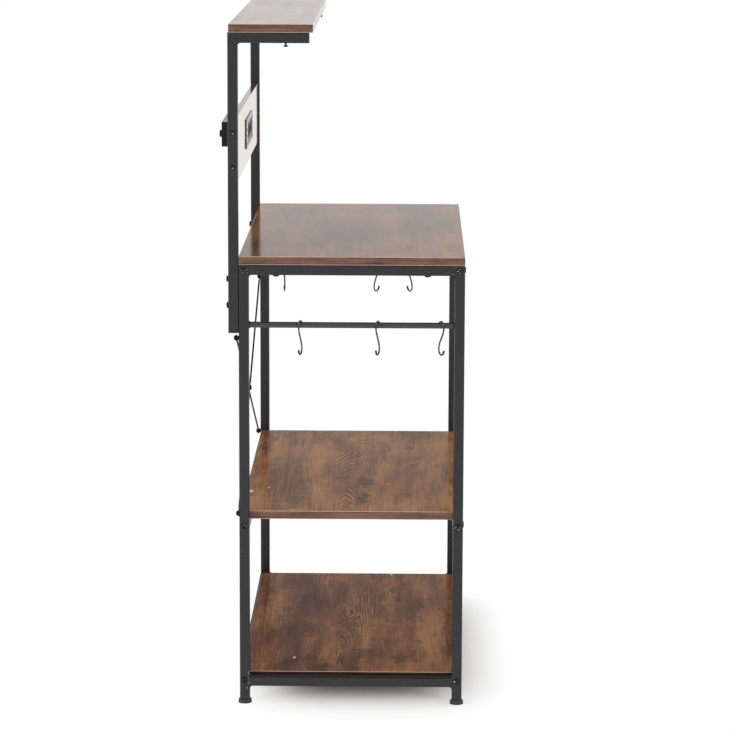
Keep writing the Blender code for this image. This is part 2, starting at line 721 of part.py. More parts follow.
# Rod cross
def brace_rod(name, middle, start, end, boss):
    # A straight rod with a round eye at each end and in the middle, bolted through
    x_start, z_start = start
    x_end, z_end = end
    first, last = place(x_start, middle, z_start), place(x_end, middle, z_end)
    centre = (first + last) / 2
    mesh = cylinder_mesh(name, ROD_DIAMETER / 2, first, last, PIN_STEPS)
    rod = new_piece(name, mesh, black_steel)
    half = Vector((0, ROD_DIAMETER / 2, 0))
    for eye in (first, centre, last):
        disc = cylinder_mesh("eye", ROD_EYE_DIAMETER / 2, eye - half, eye + half, CURVE_STEPS)
        boolean(rod, disc, "UNION")
    if boss:
        for eye in (first, last):
            seat = place(eye.x, -GAP, eye.z)
            boolean(rod, cylinder_mesh("boss", ROD_BOSS_DIAMETER / 2, seat, eye), "UNION")
    through = Vector((0, TUBE_SIZE, 0))
    hole = BRACE_BOLT[0] / 2 + BOLT_CLEARANCE
    for eye in (first, last):
        boolean(rod, cylinder_mesh("hole", hole, eye - through, eye + through), "DIFFERENCE")
    centre_hole = CENTRE_BOLT[0] / 2 + BOLT_CLEARANCE
    boolean(rod, cylinder_mesh("hole", centre_hole, centre - through, centre + through), "DIFFERENCE")
    sharpen(rod)


# Hooks
def hook_mesh(name):
    # Round wire in the XZ plane. The origin is the rail's axis, and the upper loop hangs on the rail
    radius = HOOK_LOOP_RADIUS
    upper = ROUND_RAIL_DIAMETER / 2 + GAP + HOOK_WIRE / 2 - radius
    lower = upper - (HOOK_HEIGHT - HOOK_WIRE - 2 * radius)
    lean = asin(2 * radius / (upper - lower))
    tip = radians(HOOK_TIP_LIFT)
    points = []
    steps = 9
    for step in range(steps + 1):
        angle = pi + tip - (pi + tip + lean) * step / steps
        points.append((radius * cos(angle), upper + radius * sin(angle)))
    for step in range(steps + 1):
        angle = pi - lean + (pi + tip + lean) * step / steps
        points.append((radius * cos(angle), lower + radius * sin(angle)))
    curve = bpy.data.curves.new(name, "CURVE")
    curve.dimensions = "3D"
    curve.bevel_depth = HOOK_WIRE / 2
    curve.bevel_resolution = 2
    curve.use_fill_caps = True
    spline = curve.splines.new("POLY")
    spline.points.add(len(points) - 1)
    for point, (x, z) in zip(spline.points, points):
        point.co = (x, 0, z, 1)
    return mesh_from_curve(name, curve, Matrix.Identity(4))


def add_hooks():
    mesh = hook_mesh("hook")
    for side, places in HOOK_ENDS:
        x = sides[side] * (half_length - TUBE_SIZE / 2)
        for number, (share, twist) in enumerate(places, 1):
            middle = place(x, share * FRAME_DEPTH, round_rail_height)
            turn = Matrix.Rotation(radians(twist), 3, "Z")
            new_piece(f"{side}_hook_{number}", mesh, hook_steel, middle, turn)


# Feet and their inserts
def foot_mesh():
    radius, stem = FOOT_DIAMETER / 2, FOOT_STEM_DIAMETER / 2
    profile = [
        (0, FOOT_HEIGHT + FOOT_STEM_LENGTH),
        (stem, FOOT_HEIGHT + FOOT_STEM_LENGTH),
        (stem, FOOT_HEIGHT),
        (radius * 0.9, FOOT_HEIGHT),
        (radius * 0.95, FOOT_HEIGHT * 0.86),
        (radius * 0.95, FOOT_LIP + FOOT_HEIGHT * 0.1),
        (radius, FOOT_LIP),
        (radius * 0.98, FOOT_HEIGHT * 0.1),
        (radius * 0.92, 0),
        (0, 0),
    ]
    return turned_mesh("foot", profile, CURVE_STEPS)


def foot_insert(name, middle):
    # A square plug with a flange under the tube's end and a threaded bore for the foot's stem
    width = TUBE_SIZE - 2 * TUBE_WALL - 2 * GAP
    low = FOOT_HEIGHT + GAP
    flange_top = low + INSERT_FLANGE
    base, top = middle + Vector((0, 0, low)), middle + Vector((0, 0, flange_top))
    piece = new_piece(name, bar_mesh(name, TUBE_SIZE, TUBE_CORNER, base, top), foot_plastic)
    base = middle + Vector((0, 0, (low + flange_top) / 2))
    top = middle + Vector((0, 0, flange_top + INSERT_LENGTH))
    boolean(piece, bar_mesh("plug", width, TUBE_CORNER - TUBE_WALL, base, top), "UNION")
    hole = FOOT_STEM_DIAMETER / 2 + BOLT_CLEARANCE
    top = middle + Vector((0, 0, flange_top + 2 * INSERT_LENGTH))
    boolean(piece, cylinder_mesh("bore", hole, middle, top, CURVE_STEPS), "DIFFERENCE")
    sharpen(piece)
    return piece


def add_feet():
    mesh = foot_mesh()
    for side, sign in sides.items():
        for row, depth in upright_depths.items():
            middle = place(sign * (half_length - TUBE_SIZE / 2), depth, 0)
            new_piece(f"{row}_{side}_foot", mesh, foot_plastic, middle)
            foot_insert(f"{row}_{side}_foot_insert", middle)


# Bolts
def add_rail_bolts():
    reach = GAP + TUBE_SIZE + GAP + RAIL_END_WALL
    tube_bolt = bolt_mesh("tube_bolt", FRAME_BOLT, reach + BOLT_REACH)
    angle_bolt = bolt_mesh("angle_bolt", FRAME_BOLT, reach)
    levels = (
        ("worktop", worktop_rail_middle, tube_bolt),
        ("middle", middle_rail_middle, tube_bolt),
        ("bottom", bottom_bolt_height, angle_bolt),
    )
    for level, z, mesh in levels:
        for row, depth in upright_depths.items():
            for side, sign in sides.items():
                turn = toward["-x" if sign < 0 else "+x"]
                middle = place(sign * (half_length + GAP), depth, z)
                new_piece(f"{level}_{row}_{side}_bolt", mesh, black_zinc, middle, turn)


def add_hutch_bolts():
    mesh = bolt_mesh("hutch_bolt", FRAME_BOLT, 2 * GAP + TUBE_SIZE + TUBE_WALL + BOLT_REACH)
    panel_mesh = bolt_mesh("panel_bolt", PANEL_BOLT, 2 * GAP + TUBE_SIZE + PANEL_BOLT_REACH)
    for side, sign in sides.items():
        x = sign * (half_length - TUBE_SIZE / 2)
        for level, z in zip(("upper", "lower"), hutch_bolt_heights):
            middle = place(x, hutch_back - GAP, z)
            new_piece(f"hutch_{side}_{level}_bolt", mesh, black_zinc, middle, toward["back"])
        for level, z in zip(("upper", "lower"), panel_bolt_heights):
            middle = place(sign * (half_length + GAP), hutch_middle, z)
            turn = toward["-x" if sign < 0 else "+x"]
            new_piece(f"panel_{side}_{level}_bolt", panel_mesh, black_zinc, middle, turn)


def add_brace():
    far = half_length - TUBE_SIZE / 2
    brace_rod("rising_brace_rod", rod_middles[1], (far, brace_bottom), (-far, brace_top), True)
    brace_rod("falling_brace_rod", rod_middles[0], (-far, brace_bottom), (far, brace_top), False)
    for rod, bottom_sign in (("rising", 1), ("falling", -1)):
        outer = (rod_middles[1] if rod == "rising" else rod_middles[0]) - ROD_DIAMETER / 2 - GAP
        mesh = bolt_mesh(f"{rod}_brace_bolt", BRACE_BOLT, TUBE_WALL + BOLT_REACH - outer)
        for level, sign, z in (("lower", bottom_sign, brace_bottom), ("upper", -bottom_sign, brace_top)):
            middle = place(sign * far, outer, z)
            new_piece(f"{rod}_rod_{level}_bolt", mesh, black_zinc, middle, toward["back"])
    # The crossing's bolt has its head inside the frame and its end behind the outer rod
    inner = rod_middles[0] + ROD_DIAMETER / 2 + GAP
    reach = 2 * ROD_DIAMETER + 3 * GAP + BOLT_REACH / 2
    crossing = place(0, inner, (brace_top + brace_bottom) / 2)
    mesh = bolt_mesh("centre_bolt", CENTRE_BOLT, reach)
    new_piece("brace_centre_bolt", mesh, black_zinc, crossing, toward["front"])


# The unit
for side in sides:
    end_frame(side)
    hutch_frame(side)
board("worktop", half_length, 0, FRAME_DEPTH, WORKTOP_HEIGHT)
board("top_shelf", half_length, top_shelf_back, top_shelf_front, total_height)
board("middle_shelf", inner_half, MIDDLE_SHELF_INSET, FRAME_DEPTH - MIDDLE_SHELF_INSET, MIDDLE_SHELF_HEIGHT)
board(
    "bottom_shelf",
    half_length - TUBE_SIZE - BOTTOM_SHELF_END_GAP,
    ANGLE_WALL + GAP,
    FRAME_DEPTH - ANGLE_WALL - GAP,
    bottom_shelf_top,
)
for row, depth in upright_depths.items():
    long_tube(f"worktop_{row}_rail", depth, worktop_rail_middle)
    long_tube(f"middle_{row}_rail", depth, middle_rail_middle)
long_angle("bottom_back_rail", 0, 1)
long_angle("bottom_front_rail", FRAME_DEPTH, -1)
outlet_panel()
power_bezel()
socket_plate()
power_housing()
cord_gland()
add_brace()
add_hooks()
add_feet()
add_rail_bolts()
add_hutch_bolts()
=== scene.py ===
from math import cos, pi, radians, sin

import bmesh
import bpy
from mathutils import Matrix, Vector


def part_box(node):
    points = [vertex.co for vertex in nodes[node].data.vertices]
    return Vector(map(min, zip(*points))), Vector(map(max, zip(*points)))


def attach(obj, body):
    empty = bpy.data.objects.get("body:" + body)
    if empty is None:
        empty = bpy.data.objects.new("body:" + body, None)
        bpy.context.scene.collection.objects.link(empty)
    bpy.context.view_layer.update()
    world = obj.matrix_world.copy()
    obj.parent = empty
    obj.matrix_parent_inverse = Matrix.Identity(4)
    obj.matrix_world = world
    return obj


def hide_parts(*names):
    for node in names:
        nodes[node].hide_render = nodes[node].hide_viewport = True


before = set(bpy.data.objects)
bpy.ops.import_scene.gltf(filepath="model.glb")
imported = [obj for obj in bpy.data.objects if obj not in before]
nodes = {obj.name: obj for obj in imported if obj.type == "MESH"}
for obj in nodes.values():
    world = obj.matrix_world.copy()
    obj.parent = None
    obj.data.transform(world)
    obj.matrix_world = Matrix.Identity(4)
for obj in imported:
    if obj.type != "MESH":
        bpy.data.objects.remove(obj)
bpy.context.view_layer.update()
print("frame loaded,", len(nodes), "nodes")


# small helpers for the shader trees
def newFinish(name):
    finish = bpy.data.materials.new(name)
    finish.use_nodes = True
    tree = finish.node_tree
    place = addNode(tree, "TexCoord").outputs["Object"]
    return finish, tree, tree.nodes["Principled BSDF"], place


def feed(tree, item, inputs):
    for key, value in inputs.items():
        if isinstance(value, bpy.types.NodeSocket):
            tree.links.new(value, item.inputs[key])
        else:
            item.inputs[key].default_value = value


def addNode(tree, kind, inputs=None, **options):
    item = tree.nodes.new("ShaderNode" + kind)
    for key, value in options.items():
        setattr(item, key, value)
    feed(tree, item, inputs or {})
    return item


def calc(tree, operation, first, second=0.0, third=0.0, clamp=False):
    inputs = {0: first, 1: second, 2: third}
    return addNode(tree, "Math", inputs, operation=operation, use_clamp=clamp).outputs[0]


def times(tree, first, second):
    return calc(tree, "MULTIPLY", first, second)


def offFrom(tree, value, middle):
    return calc(tree, "ABSOLUTE", calc(tree, "SUBTRACT", value, middle))


def vectorCalc(tree, operation, first, second=(0.0, 0.0, 0.0)):
    item = addNode(tree, "VectorMath", {0: first, 1: second}, operation=operation)
    return item.outputs["Value" if operation in ("LENGTH", "DOT_PRODUCT") else "Vector"]


def most(tree, first, second):
    return calc(tree, "MAXIMUM", first, second)


def splitAxes(tree, place):
    return list(addNode(tree, "SeparateXYZ", {0: place}).outputs)


def joinAxes(tree, x, y):
    return addNode(tree, "CombineXYZ", {"X": x, "Y": y, "Z": 0.0}).outputs[0]


def fade(tree, value, start, end, low=0.0, high=1.0):
    inputs = {"Value": value, "From Min": start, "From Max": end, "To Min": low, "To Max": high}
    return addNode(tree, "MapRange", inputs, interpolation_type="SMOOTHSTEP").outputs[0]


def opaque(colour):
    colour = (colour, colour, colour) if isinstance(colour, float) else colour
    return (*colour, 1.0) if isinstance(colour, tuple) else colour


def mixColour(tree, factor, first, second, blend="MIX"):
    inputs = {0: factor, 6: opaque(first), 7: opaque(second)}
    return addNode(tree, "Mix", inputs, data_type="RGBA", blend_type=blend).outputs[2]


def grainNoise(tree, place, stretch, detail=3.0, roughness=0.55):
    stretch = stretch if isinstance(stretch, tuple) else (stretch, stretch, stretch)
    stretched = vectorCalc(tree, "MULTIPLY", place, stretch)
    inputs = {"Vector": stretched, "Scale": 1.0, "Detail": detail, "Roughness": roughness}
    return addNode(tree, "TexNoise", inputs).outputs["Fac"]


def colourRamp(tree, value, stops):
    stops = list(stops)
    item = addNode(tree, "ValToRGB", {"Fac": value})
    marks = item.color_ramp.elements
    while len(marks) < len(stops):
        marks.new(0.5)
    for mark, (position, colour) in zip(marks, stops):
        mark.position = position
        mark.color = opaque(colour)
    return item.outputs[0]


# a spot is (x, y, half length, half width, strength)
def spotMask(tree, place, spot, softness=1.5, core=0.25):
    x, y, halfLength, halfWidth, strength = spot
    moved = vectorCalc(tree, "SUBTRACT", place, (x, y, 0.0))
    scaled = vectorCalc(tree, "MULTIPLY", moved, (1.0 / halfLength, 1.0 / halfWidth, 0.0))
    away = vectorCalc(tree, "LENGTH", scaled)
    return fade(tree, away, softness, core, 0.0, strength)


def spotsMask(tree, place, spots, softness=1.5):
    total = 0.0
    for spot in spots:
        total = most(tree, spotMask(tree, place, spot, softness), total)
    return total


def cloudy(tree, pattern, limits, start=0.3, end=0.7):
    return fade(tree, pattern, start, end, *limits)


def bumped(tree, height, strength, depth):
    inputs = {"Height": height, "Strength": strength, "Distance": depth}
    return addNode(tree, "Bump", inputs).outputs[0]


def addObject(name, data):
    item = bpy.data.objects.new(name, data)
    bpy.context.scene.collection.objects.link(item)
    return item


# camera at the left end of the unit, looking along its length
viewpoint = {
    "place": (-5.825, -0.1289, 1.549),
    "yaw": 0.79,
    "pitch": 9.76,
    "roll": 0.2,
    "focalLength": 151.97,
    "sensorWidth": 36.0,
    "clipEnd": 200.0,
}


def addCamera(view):
    yaw, pitch, roll = (radians(view[key]) for key in ("yaw", "pitch", "roll"))
    ahead = Vector((cos(pitch) * cos(yaw), cos(pitch) * sin(yaw), -sin(pitch)))
    across = Vector((sin(yaw), -cos(yaw), 0.0))
    upward = across.cross(ahead)
    right = cos(roll) * across + sin(roll) * upward
    upward = cos(roll) * upward - sin(roll) * across
    lens = bpy.data.cameras.new("studioCamera")
    lens.lens = view["focalLength"]
    lens.sensor_width = view["sensorWidth"]
    lens.clip_end = view["clipEnd"]
    camera = addObject("studioCamera", lens)
    turn = Matrix((right, upward, -ahead)).transposed().to_4x4()
    camera.matrix_world = Matrix.Translation(view["place"]) @ turn
    bpy.context.scene.camera = camera


addCamera(viewpoint)
print("camera set")

# white sweep under and behind the unit, and the lamps
studio = {
    "floorColour": (0.93, 0.93, 0.925),
    "floorRoughness": 0.9,
    "floorSpecular": 0.1,
    "floorSize": 90.0,
    # the floor keeps its shadow inside a rounded rectangle, and fades to plain white outside
    "footprint": (0.545, 0.27),
    "footprintMiddle": (0.0, -0.06, 0.0),
    "whiteFrom": (0.5, 1.0),
    "underGlow": 0.02,
    "ambient": 0.62,
    # what glossy surfaces mirror: (sine of the height above the horizon, brightness)
    "horizonGlow": (
        (0.0, 0.97), (0.052, 0.88), (0.115, 0.68), (0.14, 0.5), (0.175, 0.31),
        (0.235, 0.05), (0.3, 0.01), (0.42, 0.25), (0.75, 1.0),
    ),
    "lamps": (
        # name, place, aim, size, power
        ("topSoftbox", (-0.3, 0.4, 3.4), (0.0, 0.0, 0.7), 2.6, 12.0),
        ("endBackSoftbox", (-2.7, 2.4, 1.15), (0.0, 0.0, 0.4), 1.8, 46.0),
        ("endFrontSoftbox", (-2.7, -2.4, 1.15), (0.0, 0.0, 0.4), 1.8, 36.0),
        ("backSoftbox", (0.9, 3.1, 1.15), (0.0, 0.0, 0.4), 1.8, 38.0),
        ("frontSoftbox", (0.9, -3.1, 1.15), (0.0, 0.0, 0.4), 1.8, 28.0),
    ),
}


def addFloor(room):
    finish, tree, shader, place = newFinish("whiteSweep")
    feed(tree, shader, {
        "Base Color": opaque(room["floorColour"]),
        "Roughness": room["floorRoughness"],
        "Specular IOR Level": room["floorSpecular"],
    })
    length, depth = room["footprint"]
    moved = vectorCalc(tree, "SUBTRACT", place, room["footprintMiddle"])
    shrunk = vectorCalc(tree, "MULTIPLY", moved, (1.0 / length, 1.0 / depth, 0.0))
    squared = vectorCalc(tree, "MULTIPLY", shrunk, shrunk)
    away = calc(tree, "POWER", vectorCalc(tree, "DOT_PRODUCT", squared, squared), 0.25)
    far = fade(tree, away, *room["whiteFrom"], room["underGlow"], 1.0)
    rays = addNode(tree, "LightPath").outputs
    seen = most(tree, rays["Is Camera Ray"], rays["Is Glossy Ray"])
    seen = most(tree, seen, rays["Is Transmission Ray"])
    white = addNode(tree, "Emission", {"Color": opaque(1.0), "Strength": 1.0}).outputs[0]
    inputs = {0: times(tree, far, seen), 1: shader.outputs[0], 2: white}
    joined = addNode(tree, "MixShader", inputs).outputs[0]
    feed(tree, tree.nodes["Material Output"], {"Surface": joined})
    half = room["floorSize"] / 2
    corners = [(half * x, half * y, 0) for x, y in ((-1, -1), (1, -1), (1, 1), (-1, 1))]
    mesh = bpy.data.meshes.new("studioFloor")
    mesh.from_pydata(corners, [], [(0, 1, 2, 3)])
    mesh.materials.append(finish)
    floor = addObject("studioFloor", mesh)


def addWorld(room):
    world = bpy.data.worlds.new("whiteStudio")
    world.use_nodes = True
    tree = world.node_tree
    tree.nodes.clear()
    towards = addNode(tree, "TexCoord").outputs["Generated"]
    height = splitAxes(tree, towards)[2]
    glow = colourRamp(tree, height, room["horizonGlow"])
    rays = addNode(tree, "LightPath").outputs
    colour = mixColour(tree, rays["Is Glossy Ray"], room["ambient"], glow)
    seen = most(tree, rays["Is Camera Ray"], rays["Is Transmission Ray"])
    colour = mixColour(tree, seen, colour, 1.0)
    glowing = addNode(tree, "Background", {"Color": colour, "Strength": 1.0}).outputs[0]
    addNode(tree, "OutputWorld", {"Surface": glowing})
    bpy.context.scene.world = world


def addLamps(room):
    for name, place, aim, size, power in room["lamps"]:
        lamp = bpy.data.lights.new(name, "AREA")
        lamp.shape = "DISK"
        lamp.size = size
        lamp.energy = power
        box = addObject(name, lamp)
        box.location = place
        towards = Vector(aim) - Vector(place)
        box.rotation_euler = towards.to_track_quat("-Z", "Y").to_euler()
        box.visible_glossy = False  # the glossy boards mirror the white room, not the lamps


addFloor(studio)
addWorld(studio)
addLamps(studio)
bpy.context.scene.view_settings.view_transform = "Standard"
print("studio set")

# black powder coat on every tube: a fine orange peel and small changes of gloss. In all
# finishes a size is in changes over a metre, a fade says where a pattern begins and ends to
# show, and a bump is its strength and depth
powderCoat = {
    "colour": (0.0092, 0.0093, 0.0104),
    "rubbed": (0.0158, 0.0161, 0.0176),
    "specular": 0.5,
    "roughness": (0.26, 0.38),
    "cloudSize": (14.0, 14.0, 9.0),
    "cloudFade": (0.45, 0.75, 0.0, 0.5),
    "speckSize": 420.0,
    "speckFade": (0.62, 0.78, 0.0, 0.5),
    "peelSize": 1500.0,
    "peelBump": (0.5, 0.00012),
    # a painted highlight: a lighter band along the sides of the hanging rails. The rails' height,
    # how far the band reaches up, down and along, and how far off the unit's middle it starts
    "railHeight": 0.691,
    "railHighlightReach": (0.0042, 0.00336),
    "railHighlightLength": (0.182, 0.178),
    "railHighlightFrom": (0.37, 0.38),
    "railHighlightColour": (0.04, 0.04, 0.042),
    "railGloss": 0.7,
    # bare chips and painted highlights at bolts and joints of the left end's outer faces, as spots
    # over (y, z)
    "outerFace": (-0.398, -0.399),
    "bareAndGlintColour": (0.34, 0.34, 0.35),
    "bareFade": (0.3, 0.55, 0.6, 1.0),
    "chipsAndGlints": (
        (0.1593, 0.057, 0.0011, 0.0038, 0.6), (0.1602, 0.0455, 0.0009, 0.006, 0.55),
        (0.1583, 0.0383, 0.0018, 0.0014, 0.75), (0.1617, 0.029, 0.0014, 0.0026, 0.55),
        (0.1435, 0.0444, 0.007, 0.003, 0.07), (0.1259, 0.049, 0.0016, 0.0007, 0.25),
        (-0.2054, 0.0528, 0.0009, 0.0028, 0.5), (0.1724, 0.792, 0.0011, 0.001, 0.45),
        (0.1592, 0.7915, 0.0012, 0.001, 0.45), (0.17, 0.7845, 0.001, 0.001, 0.35),
        (0.1598, 0.785, 0.0011, 0.0011, 0.4), (-0.206, 0.7952, 0.001, 0.0013, 0.45),
        (-0.2035, 0.7842, 0.0011, 0.0011, 0.4), (-0.1929, 0.7855, 0.004, 0.0016, 0.06),
        (0.11, 0.7896, 0.004, 0.0018, 0.05), (-0.16, 0.786, 0.004, 0.0018, 0.05),
        (0.1837, 1.0159, 0.001, 0.0006, 0.3),
    ),
    # weld seams in the end frames: middle and half spacing of the inner faces, and the heights
    "seamMiddle": -0.0249,
    "seamSpread": 0.182,
    "seamHeights": (0.7807, 0.05, 0.032),
    "seamWidth": (0.006, 0.0035),
    "ripplePitch": 0.0015,
    "rippleWobble": 2.0,
    "rippleHeight": 1.2,
}


def makePowderCoat(look):
    finish, tree, shader, place = newFinish("blackPowderCoat")
    x, y, z = splitAxes(tree, place)
    cloud = grainNoise(tree, place, look["cloudSize"], 4.0, 0.6)
    peel = grainNoise(tree, place, look["peelSize"], 2.0, 0.5)
    specks = grainNoise(tree, place, look["speckSize"], 2.0, 0.7)
    speckled = fade(tree, specks, *look["speckFade"])
    worn = calc(tree, "ADD", fade(tree, cloud, *look["cloudFade"]), speckled, clamp=True)
    colour = mixColour(tree, worn, look["colour"], look["rubbed"])

    sideways = offFrom(tree, y, look["seamMiddle"])
    # painted highlight: a lighter band along the middle of the hanging rails' sides
    band = fade(tree, offFrom(tree, z, look["railHeight"]), *look["railHighlightReach"])
    band = times(tree, band, fade(tree, sideways, *look["railHighlightLength"]))
    band = times(tree, band, fade(tree, calc(tree, "ABSOLUTE", x), *look["railHighlightFrom"]))
    colour = mixColour(tree, band, colour, look["railHighlightColour"])

    # bare chips and painted highlights on the left end's outer faces
    chipsAndGlints = spotsMask(tree, joinAxes(tree, y, z), look["chipsAndGlints"], 1.2)
    chipsAndGlints = times(tree, chipsAndGlints, fade(tree, x, *look["outerFace"]))
    chipsAndGlints = times(tree, chipsAndGlints, fade(tree, specks, *look["bareFade"]))
    colour = mixColour(tree, chipsAndGlints, colour, look["bareAndGlintColour"])
    polish = fade(tree, band, 0.0, 1.0, 1.0, look["railGloss"])

    # the weld seams lie in small ripples across the tube
    seam = 0.0
    for height in look["seamHeights"]:
        near = fade(tree, offFrom(tree, z, height), *look["seamWidth"])
        seam = most(tree, near, seam)
    inner = offFrom(tree, sideways, look["seamSpread"])
    seam = times(tree, seam, fade(tree, inner, *look["seamWidth"]))
    turns = times(tree, x, 2 * pi / look["ripplePitch"])
    wobble = calc(tree, "MULTIPLY_ADD", specks, look["rippleWobble"], turns)
    ripple = times(tree, calc(tree, "SINE", wobble), seam)
    height = calc(tree, "MULTIPLY_ADD", ripple, look["rippleHeight"], peel)
    feed(tree, shader, {
        "Base Color": colour,
        "Specular IOR Level": look["specular"],
        "Roughness": times(tree, cloudy(tree, cloud, look["roughness"]), polish),
        "Normal": bumped(tree, height, *look["peelBump"]),
    })
    return finish


# plated metals of the bolts, the screws and the outlet's contacts
metals = {
    # colour, where it is worn, roughness, metallic
    "blackZinc": ((0.012, 0.012, 0.013), (0.22, 0.22, 0.23), (0.2, 0.38), 0.6),
    # painted shade: a darker copy of the black zinc, for the left panel bolts
    "panelZinc": ((0.0045, 0.0045, 0.005), (0.22, 0.22, 0.23), (0.2, 0.38), 0.6),
    "contactBrass": ((0.36, 0.27, 0.13), (0.62, 0.5, 0.28), (0.22, 0.38), 1.0),
    "portTin": ((0.34, 0.34, 0.35), (0.58, 0.58, 0.59), (0.2, 0.34), 1.0),
}
metalWear = {
    "cloudSize": 260.0,
    "cloudFade": (0.5, 0.74),
    "scuffSize": (1400.0, 1400.0, 500.0),
    "scuffFade": (0.42, 0.7),
    "scuffBump": (0.35, 0.0001),
    "glintColour": 0.9,
}


# plated metal with wear in clouds and scuffs, and painted highlights, bright glints, where a bolt
# head has them
def makeMetal(kind, look, name=None, paintedGlints=()):
    fresh, rubbed, roughness, metallic = metals[kind]
    finish, tree, shader, place = newFinish(name or kind)
    cloud = grainNoise(tree, place, look["cloudSize"], 4.0, 0.65)
    scuffs = grainNoise(tree, place, look["scuffSize"], 3.0, 0.7)
    worn = fade(tree, cloud, *look["cloudFade"])
    worn = times(tree, worn, fade(tree, scuffs, *look["scuffFade"]))
    colour = mixColour(tree, worn, fresh, rubbed)
    # painted highlights: bright glints on the bolt head
    if paintedGlints:
        colour = mixColour(tree, spotsMask(tree, place, paintedGlints, 1.3), colour, look["glintColour"])
    feed(tree, shader, {
        "Base Color": colour,
        "Metallic": metallic,
        "Roughness": cloudy(tree, cloud, roughness),
        "Normal": bumped(tree, scuffs, *look["scuffBump"]),
    })
    return finish


# enamel on the hooks' wire, thin in places
hookEnamel = {
    "colour": (0.035, 0.035, 0.037),
    "thin": (0.16, 0.16, 0.165),
    "roughness": (0.2, 0.34),
    "metallic": 0.55,
    "drawnSize": (900.0, 900.0, 160.0),
    "drawnBump": (0.3, 0.00008),
    "cloudSize": (180.0, 180.0, 90.0),
    "cloudFade": (0.45, 0.72),
}


def makeHookEnamel(look):
    finish, tree, shader, place = newFinish("hookEnamel")
    drawn = grainNoise(tree, place, look["drawnSize"], 3.0, 0.6)
    cloud = grainNoise(tree, place, look["cloudSize"], 3.0, 0.6)
    thinned = fade(tree, cloud, *look["cloudFade"])
    feed(tree, shader, {
        "Base Color": mixColour(tree, thinned, look["colour"], look["thin"]),
        "Metallic": look["metallic"],
        "Roughness": cloudy(tree, drawn, look["roughness"]),
        "Normal": bumped(tree, drawn, *look["drawnBump"]),
    })
    return finish


# black plastics, and the paint on the brace rods
plastics = {
    # colour, roughness, size and depth of the texture, specular level
    "outletPlastic": ((0.0075, 0.0075, 0.008), 0.12, 1700.0, 0.00002, 0.5),
    "housingPlastic": ((0.0028, 0.0028, 0.0032), 0.12, 1700.0, 0.00002, 0.22),
    "dipPlastic": ((0.006, 0.006, 0.0062), 0.34, 1500.0, 0.00004, 0.5),
    "rodPaint": ((0.003, 0.003, 0.0034), 0.44, 1500.0, 0.00006, 0.22),
    "footPlastic": ((0.028, 0.028, 0.029), 0.48, 1200.0, 0.00015, 0.5),
}
plasticWear = {
    "cloudSize": 60.0,
    "cloudFade": (0.35, 0.7),
    "paler": 1.45,
    "duller": 0.1,
    "bump": 0.4,
}


def makePlastic(kind, look):
    colour, roughness, textureSize, textureDepth, specular = plastics[kind]
    finish, tree, shader, place = newFinish(kind)
    spark = grainNoise(tree, place, textureSize, 2.0, 0.6)
    cloud = grainNoise(tree, place, look["cloudSize"], 3.0, 0.6)
    paler = tuple(value * look["paler"] for value in colour)
    feed(tree, shader, {
        "Base Color": mixColour(tree, fade(tree, cloud, *look["cloudFade"]), colour, paler),
        "Specular IOR Level": specular,
        "Roughness": cloudy(tree, cloud, (roughness, roughness + look["duller"])),
        "Normal": bumped(tree, spark, look["bump"], textureDepth),
    })
    return finish


# the boards' printed wood
laminate = {
    "umber": (0.105, 0.035, 0.015),
    "russet": (0.27, 0.104, 0.036),
    "tan": (0.445, 0.195, 0.066),
    "honey": (0.555, 0.255, 0.092),
    "smoke": (0.062, 0.031, 0.02),
    "ink": (0.022, 0.01, 0.007),
    "fleck": (0.86, 0.72, 0.62),
    # painted highlight on the boards' trimmed arrises
    "arrisHighlight": (0.6, 0.42, 0.31),
    "edge": ((0.038, 0.015, 0.009), (0.165, 0.075, 0.046)),
    "edgeStops": (0.42, 0.62),
    "edgeGrain": (9.0, 9.0, 520.0),
    "standingEdgeGrain": (300.0, 14.0, 420.0),
    "edgeCloud": (22.0, 22.0, 60.0),
    "edgeMix": {"grain": 0.75, "cloud": 0.35},
    "roughness": (0.2, 0.26),
    "overlayRoughness": 0.05,
    "grainBump": (0.2, 0.00002),
    # tone of the ground: how much each pattern adds, and where the three browns lie on it
    "toneMix": {"broad": 0.95, "streak": 0.18, "fibre": 0.2, "blotch": 0.75},
    "toneMiddle": 0.54,
    "toneStops": (0.26, 0.48, 0.7),
    # the patches' ragged outlines: a noise and how far it moves them. Then the sway of the
    # fine grain, and how many growth lines high a ripple in them is
    "ragged": {"Scale": 30.0, "Detail": 6.0, "Roughness": 0.78},
    "raggedness": (0.26, 0.09, 0.0),
    "sway": 0.05,
    "ripple": 2.4,
    # patterns: changes over a metre along and across the board, then detail and roughness
    "patterns": {
        "broad": (3.2, 8.0, 4.0, 0.62),
        "blotch": (8.0, 36.0, 6.0, 0.74),
        "wander": (1.3, 6.5, 2.0, 0.5),
        "streak": (4.0, 150.0, 3.0, 0.6),
        "pore": (9.0, 430.0, 3.0, 0.62),
        "fibre": (1.1, 55.0, 3.0, 0.55),
        "stray": (5.0, 13.0, 5.0, 0.7),
        "ripple": (5.5, 34.0, 2.0, 0.5),
        "clear": (2.6, 17.0, 3.0, 0.6),
        "dust": (420.0, 900.0, 1.0, 0.4),
    },
    # fades: where a value begins and ends to count, then its least and greatest share
    "fades": {
        "honeyStreak": (0.25, 0.7, 0.65, 1.0),
        "smokeStray": (0.56, 0.74, 0.0, 0.6),
        "smokeBlotch": (0.25, 0.6, 0.6, 1.0),
        "smokeStreak": (0.6, 0.4, 0.5, 1.0),
        "lean": (0.075, 0.02),
        "ridge": (0.2, 0.06),
        "clear": (0.46, 0.68, 0.03, 0.55),
        "pore": (0.48, 0.64),
        "poreGround": (0.35, 0.65, 0.58, 0.32),
        "knotBlotch": (0.2, 0.55, 0.5, 1.0),
        "dust": (0.745, 0.8, 0.0, 0.35),
        "edge": (0.3, 0.2),
        "arrisFoot": (0.25, 0.35),
        "arrisHighlightTop": (0.96, 0.9),
    },
}
